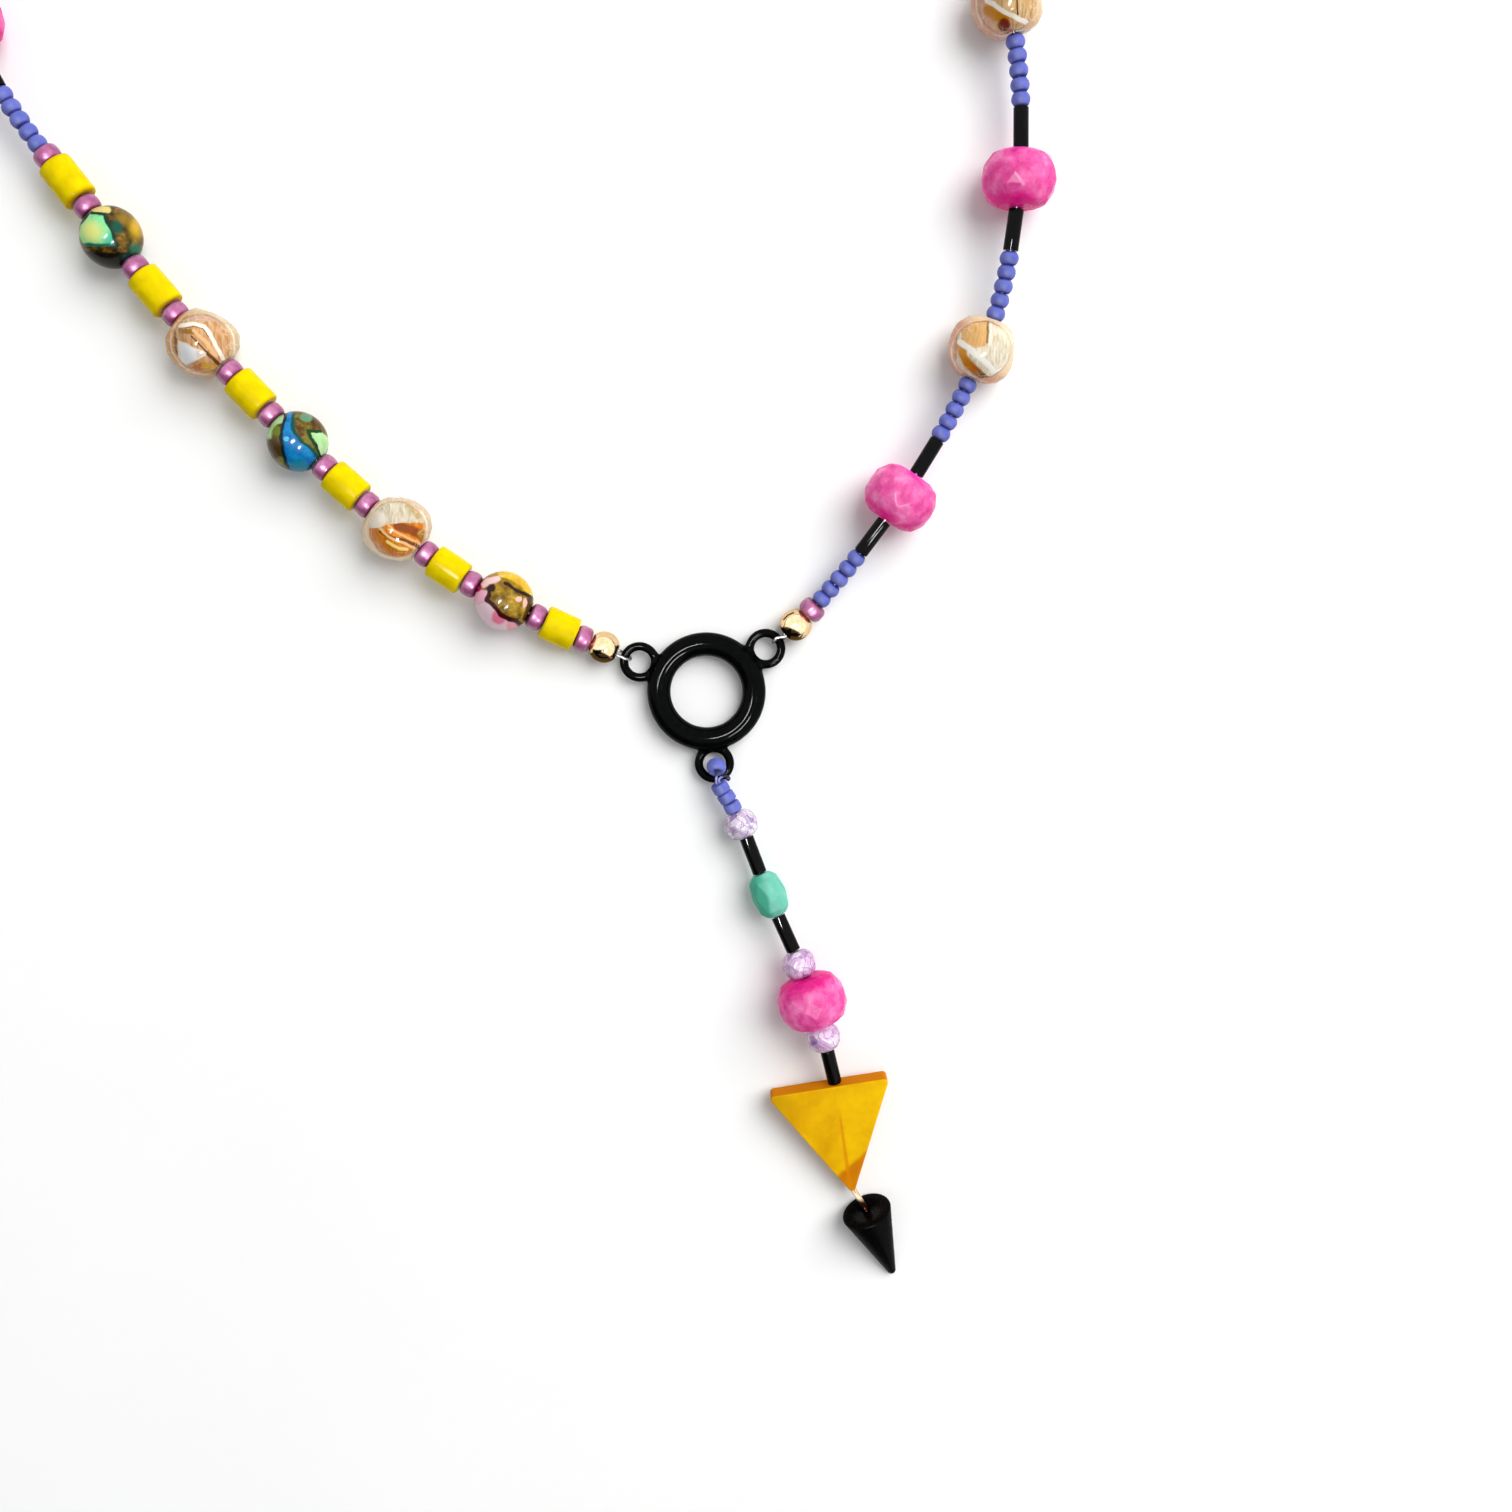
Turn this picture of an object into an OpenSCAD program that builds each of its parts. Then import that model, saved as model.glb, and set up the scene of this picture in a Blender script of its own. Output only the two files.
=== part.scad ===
// Y-shaped bead necklace, lying on a table with its drop towards -Y.
// Three strands leave a black ring with three eyes: two go round the neck to a clasp, one carries the drop.
// Places are laid out from the ring's centre, and frame_shift then moves the whole to its middle.

/* [Ring] */
// Diameter of the ring over its metal
ring_d = 15.2; // [14.8:0.1:15.6]
// Thickness of the ring's round section
ring_wire = 3.0; // [2.8:0.1:3.1]
// Diameter of an eye over its metal
eye_d = 5.1; // [4.9:0.1:5.3]
// Thickness of an eye's wire
eye_wire = 1.1; // [0.9:0.1:1.1]
// Distance from the ring's centre to an eye's centre
eye_reach = 9.35; // [9.2:0.05:9.45]

/* [Round beads] */
// Diameter of a gold bead
gold_d = 4.0; // [3.8:0.1:4.1]
// Length of a gold bead along its hole
gold_len = 3.5; // [3.3:0.1:3.6]
// Diameter of a mosaic stone bead
mosaic_d = 7.4; // [7:0.1:7.6]
// Length of a mosaic stone bead between its ground ends
mosaic_len = 6.9; // [6.4:0.1:6.9]

/* [Tube and ring beads] */
// Diameter of a yellow tube bead
tube_d = 4.3; // [4:0.1:4.5]
// Length of the tube bead next to the ring
tube_len = 4.3; // [4.1:0.1:4.4]
// How much longer each further tube bead is
tube_growth = 0.18; // [0.14:0.01:0.2]
// Diameter of a mauve spacer
spacer_d = 3.35; // [3.1:0.05:3.5]
// Length of a mauve spacer
spacer_len = 1.85; // [1.75:0.05:1.9]
// Diameter of a black bugle bead
bugle_d = 1.85; // [1.7:0.05:1.95]
// Length of a black bugle bead
bugle_len = 4.9; // [4.7:0.1:5]
// Diameter of a blue seed bead
seed_d = 2.3; // [2.1:0.05:2.4]
// Length of a blue seed bead on the neck strands
seed_len = 1.51; // [1.46:0.01:1.53]
// Length of a blue seed bead on the drop
drop_seed_len = 1.33; // [1.3:0.01:1.35]

/* [Cut and pressed beads] */
// Diameter of a pink rondelle
rondelle_d = 9.1; // [8.8:0.1:9.2]
// Length of a pink rondelle
rondelle_len = 6.6; // [6.3:0.1:6.7]
// Mean diameter of a champagne nugget
nugget_d = 8.1; // [7.8:0.1:8.2]
// Length of a champagne nugget
nugget_len = 7.3; // [7:0.1:7.4]
// Diameter of a lilac crystal
lilac_d = 4.5; // [4.3:0.1:4.6]
// Length of a lilac crystal
lilac_len = 3.4; // [3.2:0.1:3.5]
// Diameter of the mint drum bead
mint_d = 4.6; // [4.4:0.1:4.7]
// Length of the mint drum bead
mint_len = 5.8; // [5.6:0.1:5.9]

/* [Pendant] */
// Width of the amber triangle along its top edge
triangle_w = 16.2; // [15.8:0.1:16.6]
// Height of the amber triangle from top edge to tip
triangle_h = 15.7; // [15.5:0.1:15.9]
// Thickness of the amber triangle
triangle_t = 2.8; // [2.6:0.1:2.9]
// How far the triangle's tip and drilled hole stand off the middle of its top edge
triangle_skew = 1.0; // [0.8:0.1:1.2]
// Diameter of the black cone's base
cone_d = 6.7; // [6.5:0.1:6.8]
// Length of the black cone
cone_len = 11.2; // [10.8:0.1:11.5]

/* [Stringing] */
// Thickness of the beading wire of the two neck strands
wire_d = 0.38; // [0.3:0.02:0.4]
// Thickness of the drop's thread
thread_d = 0.3; // [0.2:0.02:0.32]
// Diameter of the holes drilled through the beads
bore_d = 1.2; // [1.1:0.05:1.25]
// Clear gap between neighbouring beads
bead_gap = 0.17; // [0.15:0.01:0.18]
// Seed beads before the clasp on the left strand
left_tail = 13; // [10:1:13]
// Seed beads before the clasp on the right strand
right_tail = 14; // [11:1:14]
// Diameter of the barrel clasp
clasp_d = 5.0; // [4.8:0.1:5.1]

/* [Hidden] */
$fn = 48;

// Moves the ring's centre to its place in the frame of the whole necklace
frame_shift = [27.5, -41.5, 0];

// Height of the ring's middle plane, with the ring lying on the table
ring_z = ring_wire / 2;
// Height of the eyes' middle plane, a little below the ring's
eye_z = ring_z - 0.15;
// Radius of the circle that an eye's wire is bent round
eye_r = (eye_d - eye_wire) / 2;
// Compass of the three eyes, seen from above
EYE_ANGLES = [156, 36, 276];

// The wires' routes, x and y from the ring's centre and z above the table, chosen by hand.
// Large beads lie on the table, so a route rises to their radius and sags a little between them.
LEFT_ROUTE = [
    [-10.4, 4.6, 2.0], [-13, 5.8, 2.1], [-18.5, 8.1, 2.8], [-25, 11.6, 3.9], [-31.7, 15.1, 3.8],
    [-38.2, 20.3, 3.95], [-44.7, 25.9, 3.8], [-50.3, 31.1, 3.8], [-56, 37.1, 3.8], [-61.7, 43.2, 3.95],
    [-67.4, 49.7, 3.8], [-72.4, 56, 3.8], [-77.4, 62.6, 3.55], [-82.3, 69.1, 3.75], [-86.2, 76, 4.2],
    [-90, 85.2, 4.6], [-92.5, 95, 4.25], [-93.6, 106, 4.0], [-93, 117, 4.25], [-90.4, 128, 4.65],
    [-86, 138, 4.25], [-79.5, 147, 4.0], [-73.3, 152.4, 3.6], [-66.4, 156.6, 3.1], [-59.2, 159.2, 2.6]
];
RIGHT_ROUTE = [
    [9.2, 6.8, 2.0], [11.4, 8.4, 2.1], [15.3, 12.6, 2.6], [19.6, 17.9, 3.6], [24, 24, 4.65],
    [27.8, 29.9, 4.3], [31.2, 35.8, 4.0], [34.3, 42.5, 4.0], [36.7, 50.5, 4.2], [38.1, 61, 4.6],
    [38.2, 72, 4.3], [36.6, 82.8, 4.0], [33.2, 93, 4.2], [28.4, 103, 4.6], [22.2, 112.5, 4.3],
    [15, 121.5, 4.0], [6.6, 130, 4.25], [-2.6, 138, 4.75], [-12.5, 145.5, 4.3], [-22.6, 151.8, 3.95],
    [-33.2, 156.7, 3.3], [-43.6, 160, 2.6]
];
DROP_ROUTE = [
    [1.4, -11.6, 3.05], [2.2, -12.9, 2.85], [3, -14.2, 2.68], [3.7, -15.5, 2.58], [5.1, -18.8, 2.62],
    [6.9, -23.5, 2.95], [9.2, -29, 3.4], [11.3, -33.6, 4.05], [12.6, -36.9, 4.5], [14.7, -43.3, 4.4],
    [15.6, -46.7, 3.9], [16.7, -51.3, 3.05], [18.1, -59.5, 2.25]
];

// A bead is written as its kind and its length along the wire
GOLD = ["gold", gold_len];
MOSAIC = ["mosaic", mosaic_len];
SPACER = ["spacer", spacer_len];
BUGLE = ["bugle", bugle_len];
RONDELLE = ["rondelle", rondelle_len];
NUGGET = ["nugget", nugget_len];
LILAC = ["lilac", lilac_len];
MINT = ["mint", mint_len];
function tube(number) = ["tube", tube_len + tube_growth * (number - 1)];
function seeds(count, length = seed_len) = [for (i = [1:count]) ["seed", length]];

// What is strung, from the ring outwards
PATTERN = concat([BUGLE, RONDELLE, BUGLE], seeds(5), [NUGGET], seeds(5));
LEFT_BEADS = concat(
    [GOLD, SPACER, tube(1), SPACER, MOSAIC],
    [SPACER, tube(2), SPACER, NUGGET, SPACER, tube(3), SPACER, MOSAIC],
    [SPACER, tube(4), SPACER, NUGGET, SPACER, tube(5), SPACER, MOSAIC],
    [SPACER, tube(6), SPACER],
    seeds(5), PATTERN, PATTERN, seeds(left_tail - 5), [SPACER, GOLD]
);
RIGHT_BEADS = concat(
    [GOLD, SPACER], seeds(5), PATTERN, PATTERN, PATTERN, PATTERN, seeds(right_tail - 5), [SPACER, GOLD]
);
DROP_BEADS = concat(seeds(3, drop_seed_len), [LILAC, BUGLE, MINT, BUGLE, LILAC, RONDELLE, LILAC, BUGLE]);

// Plain vector and list helpers
function unit(v) = v / norm(v);
function mid(a, b) = (a + b) / 2;
function flat(lists) = [for (list = lists, item = list) item];
function reversed(list) = [for (i = [len(list) - 1:-1:0]) list[i]];

// Smooth curve through hand-chosen points
CURVE_STEPS = 12;
function curve_point(a, b, c, d, t) =
    (2 * b + (c - a) * t + (2 * a - 5 * b + 4 * c - d) * t * t + (3 * b - a - 3 * c + d) * t * t * t) / 2;
function curve(points) =
    let (last = len(points) - 1, ends = [2 * points[0] - points[1], 2 * points[last] - points[last - 1]])
    concat([for (i = [0:last - 1], k = [0:CURVE_STEPS - 1])
        curve_point(
            i == 0 ? ends[0] : points[i - 1], points[i], points[i + 1],
            i == last - 1 ? ends[1] : points[i + 2], k / CURVE_STEPS
        )
    ], [points[last]]);

// A route as three tables that give x, y and z at a length along it
function lengths_along(line) =
    [for (i = 0, s = 0; i < len(line); s = s + (i + 1 < len(line) ? norm(line[i + 1] - line[i]) : 0), i = i + 1) s];
function measured(points) =
    let (line = curve(points), s = lengths_along(line))
    [for (axis = [0:2]) [for (i = [0:len(line) - 1]) [s[i], line[i][axis]]]];
function at(route, s) = [for (axis = [0:2]) lookup(s, route[axis])];
function route_length(route) = route[0][len(route[0]) - 1][0];

// Lengths at which the beads of a strand meet, and a strand as its name, beads, route, joints and joint places
function joint_lengths(beads, start) =
    [for (i = 0, s = start; i <= len(beads); s = s + (i < len(beads) ? beads[i][1] + bead_gap : 0), i = i + 1) s];
function strand(name, beads, points, start) =
    let (route = measured(points), joints = joint_lengths(beads, start))
    [name, beads, route, joints, [for (s = joints) at(route, s)]];

// How far along its route each strand's first bead starts
LEFT = strand("left", LEFT_BEADS, LEFT_ROUTE, 1);
RIGHT = strand("right", RIGHT_BEADS, RIGHT_ROUTE, 1);
DROP = strand("drop", DROP_BEADS, DROP_ROUTE, 0);
STRANDS = [LEFT, RIGHT, DROP];
function beads_of(strand) = strand[1];
function places_of(strand) = strand[4];
function sites(strand, kind) = [for (i = [0:len(beads_of(strand)) - 1]) if (beads_of(strand)[i][0] == kind) i];
function bead_middle(strand, i) = mid(places_of(strand)[i], places_of(strand)[i + 1]);
function bead_axis(strand, i) = unit(places_of(strand)[i + 1] - places_of(strand)[i]);

// The beads that are nodes of their own, each as its name, kind, strand, index and number
MAIN_KINDS = ["gold", "tube", "mosaic", "nugget", "rondelle", "lilac", "mint"];
MAIN_BEADS = [for (strand = STRANDS, kind = MAIN_KINDS)
    let (found = sites(strand, kind))
    if (len(found) > 0) for (n = [0:len(found) - 1])
        [str(strand[0], "_", kind, "_", n + 1), kind, strand, found[n], n]
];

// Turns +Z to a direction
module aim(direction) {
    rotate([0, acos(direction.z), atan2(direction.y, direction.x)]) children();
}

// Puts its children on one bead's place, with +Z along the wire
module on_bead(strand, i) {
    translate(bead_middle(strand, i)) aim(bead_axis(strand, i)) children();
}

// Closed skin over rings of points; a hollow one joins its last ring to its first
module skin(rings, hollow = false) {
    sides = len(rings[0]);
    count = len(rings);
    bands = hollow ? count : count - 1;
    walls = [for (i = [0:bands - 1], k = [0:sides - 1])
        let (a = i * sides, b = ((i + 1) % count) * sides, next = (k + 1) % sides)
        each [[a + k, b + k, b + next], [a + k, b + next, a + next]]
    ];
    caps = hollow ? [] : [
        [for (k = [0:sides - 1]) k],
        [for (k = [sides - 1:-1:0]) (count - 1) * sides + k]
    ];
    polyhedron(points = flat(rings), faces = concat(walls, caps));
}

// Rings across a path, each turned as little as possible from the last
function heading(path, i) = unit(path[min(i + 1, len(path) - 1)] - path[max(i - 1, 0)]);
function across(side, direction) = unit(side - (side * direction) * direction);
function path_rings(path, radius, sides) =
    [for (i = 0, side = across([0.1, 0.2, 1], heading(path, 0)); i < len(path);
        i = i + 1, side = i < len(path) ? across(side, heading(path, i)) : side)
        let (other = cross(heading(path, i), side))
        [for (k = [0:sides - 1]) path[i] + radius * (cos(360 * k / sides) * side + sin(360 * k / sides) * other)]
    ];

// Exact round beads
module drilled(length) {
    difference() {
        children();
        cylinder(d = bore_d, h = length + 2, center = true);
    }
}

module ground_ball(diameter, length) {
    drilled(diameter) intersection() {
        sphere(d = diameter);
        cube([diameter, diameter, length], center = true);
    }
}

module rounded_tube(diameter, length, corner) {
    radius = diameter / 2;
    half = length / 2;
    rotate_extrude() difference() {
        union() {
            translate([0, -half]) square([radius - corner, length]);
            translate([0, corner - half]) square([radius, length - 2 * corner]);
            for (end = [-1, 1]) translate([radius - corner, end * (half - corner)]) circle(r = corner);
        }
        translate([-radius, -length]) square([radius + bore_d / 2, 2 * length]);
    }
}

// Cut and pressed beads, as rings of points from end to end.
// Each row of a table is a height as a share of the half length, and a radius as a share of the full radius.
RONDELLE_ROWS = [[-1, 0.52], [-0.84, 0.78], [-0.42, 0.96], [0, 1], [0.42, 0.96], [0.84, 0.78], [1, 0.52]];
LILAC_ROWS = [[-1, 0.55], [-0.8, 0.8], [-0.4, 0.96], [0, 1], [0.4, 0.96], [0.8, 0.8], [1, 0.55]];
MINT_ROWS = [[-1, 0.52], [-0.72, 0.88], [0, 1], [0.72, 0.88], [1, 0.52]];
function cut_rings(rows, radius, length, facets) =
    [for (i = [0:len(rows) - 1]) [for (k = [0:facets - 1])
        let (angle = 360 * (k + (i % 2) / 2) / facets, r = rows[i][1] * radius)
        [r * cos(angle), r * sin(angle), rows[i][0] * length / 2]
    ]];

NUGGET_ROWS = [[-1, 0.45], [-0.86, 0.7], [-0.55, 0.92], [-0.2, 1], [0.2, 1], [0.55, 0.92], [0.86, 0.7], [1, 0.45]];
NUGGET_SIDES = 15;
// Depth of the three flattened sides, and how far they twist from the middle to an end
nugget_lobe = 0.09;
nugget_twist = 34;
function nugget_rings(spin) =
    [for (row = NUGGET_ROWS) [for (k = [0:NUGGET_SIDES - 1])
        let (
            angle = 360 * k / NUGGET_SIDES,
            lobe = 1 + nugget_lobe * cos(3 * (angle - spin - nugget_twist * row[0])),
            r = row[1] * lobe * nugget_d / 2
        )
        [r * cos(angle), r * sin(angle), row[0] * nugget_len / 2]
    ]];

module rondelle_bead() {
    drilled(rondelle_len) skin(cut_rings(RONDELLE_ROWS, rondelle_d / 2, rondelle_len, 12));
}

module nugget_bead(spin) {
    drilled(nugget_len) skin(nugget_rings(spin));
}

module lilac_bead() {
    drilled(lilac_len) skin(cut_rings(LILAC_ROWS, lilac_d / 2, lilac_len, 10));
}

module mint_bead() {
    drilled(mint_len) skin(cut_rings(MINT_ROWS, mint_d / 2, mint_len, 8));
}

// Each nugget lies on one of its flattened sides, a little turned from its neighbours
nugget_down = 60;
nugget_wobble = [0, 9, -8, 5];

module main_bead(bead) {
    kind = bead[1];
    on_bead(bead[2], bead[3]) {
        if (kind == "gold") color("goldenrod") ground_ball(gold_d, gold_len);
        if (kind == "tube") color("gold") rounded_tube(tube_d, beads_of(bead[2])[bead[3]][1], 0.35);
        if (kind == "mosaic") color("olivedrab") ground_ball(mosaic_d, mosaic_len);
        if (kind == "nugget") color("wheat") nugget_bead(nugget_down + nugget_wobble[bead[4]]);
        if (kind == "rondelle") color("hotpink") rondelle_bead();
        if (kind == "lilac") color("plum") lilac_bead();
        if (kind == "mint") color("mediumaquamarine") mint_bead();
    }
}

// Small beads of one kind on one strand, as loose solids in one node
module spacers(strand) {
    color("mediumvioletred") for (i = sites(strand, "spacer")) on_bead(strand, i)
        rounded_tube(spacer_d, spacer_len, spacer_len * 0.42);
}

module bugles(strand) {
    color("black") for (i = sites(strand, "bugle")) on_bead(strand, i)
        drilled(bugle_len) cylinder(d = bugle_d, h = bugle_len, center = true);
}

// Runs of seed beads as hollow tubes with a ring every two or three diameters
seed_ring_step = 4.5;
seed_run_inset = 0.12;
function run_starts(strand) = [for (i = sites(strand, "seed")) if (i == 0 || beads_of(strand)[i - 1][0] != "seed") i];
function run_end(strand, i) = beads_of(strand)[i][0] == "seed" ? run_end(strand, i + 1) : i;
function run_path(strand, i) =
    let (
        from = strand[3][i] + seed_run_inset,
        to = strand[3][run_end(strand, i)] - seed_run_inset,
        parts = max(1, ceil((to - from) / seed_ring_step))
    )
    [for (k = [0:parts]) at(strand[2], from + (to - from) * k / parts)];

module hollow_sweep(path, outer_d, inner_d, sides) {
    skin(concat(path_rings(path, outer_d / 2, sides), reversed(path_rings(path, inner_d / 2, sides))), hollow = true);
}

module seed_runs(strand) {
    color("slateblue") for (i = run_starts(strand)) hollow_sweep(run_path(strand, i), seed_d, bore_d, 8);
}

// The seed bead that leans in the drop's eye: outward from the ring's centre, sideways, and height
eye_seed_u = [10.24, 9.16];
eye_seed_v = 0.25;
eye_seed_z = [2.99, 1.91];
function drop_eye(u, v, z) = eye_frame(EYE_ANGLES[2], u, v, z);
module eye_seed() {
    color("slateblue") hollow_sweep(
        [for (end = [0, 1]) drop_eye(eye_seed_u[end], eye_seed_v, eye_seed_z[end])], seed_d, bore_d, 8
    );
}

// The black ring with its three eyes
module wire_ring(diameter, wire) {
    rotate_extrude() translate([(diameter - wire) / 2, 0]) circle(d = wire);
}

module ring() {
    color("black") {
        translate([0, 0, ring_z]) wire_ring(ring_d, ring_wire);
        for (angle = EYE_ANGLES) rotate([0, 0, angle]) translate([eye_reach, 0, eye_z]) wire_ring(eye_d, eye_wire);
    }
}

// A point near an eye: u outwards from the ring's centre, v sideways, z above the table
function eye_frame(angle, u, v, z) = [u * cos(angle) - v * sin(angle), u * sin(angle) + v * cos(angle), z];

// A strand's end turned round an eye's rim, from over it to under it and up on its outer side
wrap_sideways = 0.3;
wrap_gap = 0.045;
wrap_r = eye_wire / 2 + wire_d / 2 + wrap_gap;
function wrap(angle) =
    [for (turn = [360:-22.5:90]) eye_frame(
        angle,
        eye_reach + eye_r + wrap_r * cos(turn),
        wrap_sideways * (225 - turn) / 135,
        eye_z + wrap_r * sin(turn)
    )];
function wrap_rise(angle) = eye_frame(angle, eye_reach + eye_r + wrap_r + 0.01, -wrap_sideways, eye_z + 0.4);

// Both legs of the turn lie side by side in the first bead
function first_leg(strand, side, share) =
    let (axis = bead_axis(strand, 0), sideways = unit(cross([0, 0, 1], axis)))
    bead_middle(strand, 0) + axis * share * gold_len / 2 + sideways * side * wrap_sideways;

wire_ring_step = 5.5;
function wire_stretch(strand, from, to) =
    let (parts = ceil((to - from) / wire_ring_step))
    [for (k = [0:parts]) at(strand[2], from + (to - from) * k / parts)];

// How far a wire runs into the clasp
wire_into_clasp = 2.5;
function strand_end(strand) = places_of(strand)[len(places_of(strand)) - 1];
function neck_wire_path(strand, angle) =
    let (last = len(strand[3]) - 1, side = angle > 90 ? 1 : -1)
    concat(
        [first_leg(strand, -side, 0.2), first_leg(strand, -side, -0.9), wrap_rise(angle)],
        wrap(angle),
        [first_leg(strand, side, -0.9), first_leg(strand, side, 0.2)],
        wire_stretch(strand, strand[3][1], strand[3][last] - 0.3),
        [strand_end(strand) + clasp_inward(strand) * wire_into_clasp]
    );
function clasp_inward(strand) = unit(mid(strand_end(LEFT), strand_end(RIGHT)) - strand_end(strand));

module neck_wire(strand, angle) {
    color("silver") skin(path_rings(neck_wire_path(strand, angle), wire_d / 2, 6));
}

// The drop's thread: out of the first seed, down beside it, under the rim, up through the eye's seed and back
thread_side = 0.24;
function thread_leg(s, side) =
    let (here = at(DROP[2], s), sideways = unit(cross([0, 0, 1], at(DROP[2], s + 0.5) - here)))
    here + sideways * side * thread_side;
DROP_THREAD_PATH = concat(
    [thread_leg(2.2, 1), thread_leg(0.2, 1)],
    [drop_eye(11.15, 0.5, 3.1), drop_eye(10.95, 1.15, 3), drop_eye(11.1, 1.6, 2.6), drop_eye(11.45, 1.75, 1.9)],
    [drop_eye(11.75, 1.5, 1.2), drop_eye(11.5, 1.3, 0.6), drop_eye(10.8, 1.1, 0.45), drop_eye(10, 0.7, 0.5)],
    [drop_eye(9.3, 0.3, 0.8), drop_eye(8.98, 0.25, 1.5)],
    [for (end = [1, 0]) drop_eye(eye_seed_u[end], eye_seed_v, eye_seed_z[end])],
    [thread_leg(0.2, -1), thread_leg(2.2, -1)],
    wire_stretch(DROP, 4.6, route_length(DROP[2]))
);

module drop_thread() {
    color("lavender") skin(path_rings(DROP_THREAD_PATH, thread_d / 2, 6));
}

// The amber triangle, drilled from its top edge to its tip.
// Its own axes: x along the top edge, y up the page, z out of its face, origin where the hole enters.
triangle_entry = [16.8, -51.6, 2.9];
triangle_turn = 9.3;
triangle_tilt = -5.3;
triangle_corner = 0.5;
TRIANGLE = [
    [-triangle_w / 2 - triangle_skew, 0],
    [triangle_w / 2 - triangle_skew, 0],
    [0, -triangle_h]
];
function inward(i) =
    unit(unit(TRIANGLE[(i + 1) % 3] - TRIANGLE[i]) + unit(TRIANGLE[(i + 2) % 3] - TRIANGLE[i]));
function half_angle(i) =
    acos(unit(TRIANGLE[(i + 1) % 3] - TRIANGLE[i]) * inward(i));
function corner_centre(i) = TRIANGLE[i] + inward(i) * triangle_corner / sin(half_angle(i));

module in_triangle() {
    translate(triangle_entry) rotate([0, 0, triangle_turn]) rotate([-triangle_tilt, 0, 0]) children();
}

module triangle() {
    color("orange") in_triangle() difference() {
        linear_extrude(triangle_t, center = true) hull() {
            for (i = [0:2]) translate(corner_centre(i)) circle(r = triangle_corner, $fn = 24);
        }
        rotate([90, 0, 0]) cylinder(d = bore_d, h = 3 * triangle_h, center = true);
    }
}

// The black cone lies on its side, with its tip on the table
cone_tip_r = 0.6;
cone_edge = 0.25;
cone_hole_depth = 3;
cone_turn = -69;
cone_lean = asin((cone_d / 2 - cone_tip_r) / (cone_len - cone_tip_r));
cone_base = [21, -69.1, cone_tip_r + (cone_len - cone_tip_r) * sin(cone_lean)];
CONE_AXIS = [cos(cone_turn) * cos(cone_lean), sin(cone_turn) * cos(cone_lean), -sin(cone_lean)];
CONE_PROFILE = concat(
    [[bore_d / 2, 0], [cone_d / 2 - cone_edge, 0], [cone_d / 2, cone_edge]],
    [for (a = [cone_lean:(90 - cone_lean) / 5:89.9])
        [cone_tip_r * cos(a), cone_len - cone_tip_r + cone_tip_r * sin(a)]],
    [[0, cone_len], [0, cone_hole_depth], [bore_d / 2, cone_hole_depth]]
);

module cone() {
    color("black") translate(cone_base) aim(CONE_AXIS) rotate_extrude() polygon(CONE_PROFILE);
}

// The gold wire that hooks the cone to the triangle's tip
link_d = 0.8;
TRIANGLE_TIP = triangle_entry + [
    triangle_h * sin(triangle_turn) * cos(triangle_tilt),
    -triangle_h * cos(triangle_turn) * cos(triangle_tilt),
    triangle_h * sin(triangle_tilt)
];
TIP_AXIS = unit(TRIANGLE_TIP - triangle_entry);
LINK_PATH = curve([
    TRIANGLE_TIP - TIP_AXIS * 2.2,
    TRIANGLE_TIP - TIP_AXIS * 0.3,
    mid(TRIANGLE_TIP, cone_base) + [0.25, -0.1, 0.35],
    cone_base + CONE_AXIS * 0.1,
    cone_base + CONE_AXIS * 2
]);

module cone_link() {
    color("goldenrod") skin(path_rings([for (i = [0:3:len(LINK_PATH) - 1]) LINK_PATH[i]], link_d / 2, 8));
}

// The plain barrel clasp spans whatever the two strands leave between them
CLASP_SPAN = strand_end(RIGHT) - strand_end(LEFT);
clasp_gap = 0.45;
clasp_len = norm(CLASP_SPAN) - 2 * clasp_gap;
clasp_round = 1.6;

module clasp() {
    color("goldenrod") translate(mid(strand_end(LEFT), strand_end(RIGHT))) aim(unit(CLASP_SPAN))
        rounded_tube(clasp_d, clasp_len, clasp_round);
}

translate(frame_shift) {
    ring();
    neck_wire(LEFT, EYE_ANGLES[0]);  // left_wire
    neck_wire(RIGHT, EYE_ANGLES[1]);  // right_wire
    drop_thread();
    for (bead = MAIN_BEADS) main_bead(bead);
    spacers(LEFT);  // left_spacers
    spacers(RIGHT);  // right_spacers
    bugles(LEFT);  // left_bugles
    bugles(RIGHT);  // right_bugles
    bugles(DROP);  // drop_bugles
    seed_runs(LEFT);  // left_seed_runs
    seed_runs(RIGHT);  // right_seed_runs
    union() {  // drop_seed_runs
        seed_runs(DROP);
        eye_seed();
    }
    triangle();
    cone_link();
    cone();
    clasp();
}
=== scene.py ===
"""Y-shaped bead necklace on a pale table: two beaded neck strands and a short drop meet at a black ring."""
import math

import bmesh
import bpy
import numpy as np
from mathutils import Matrix, Vector


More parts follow.
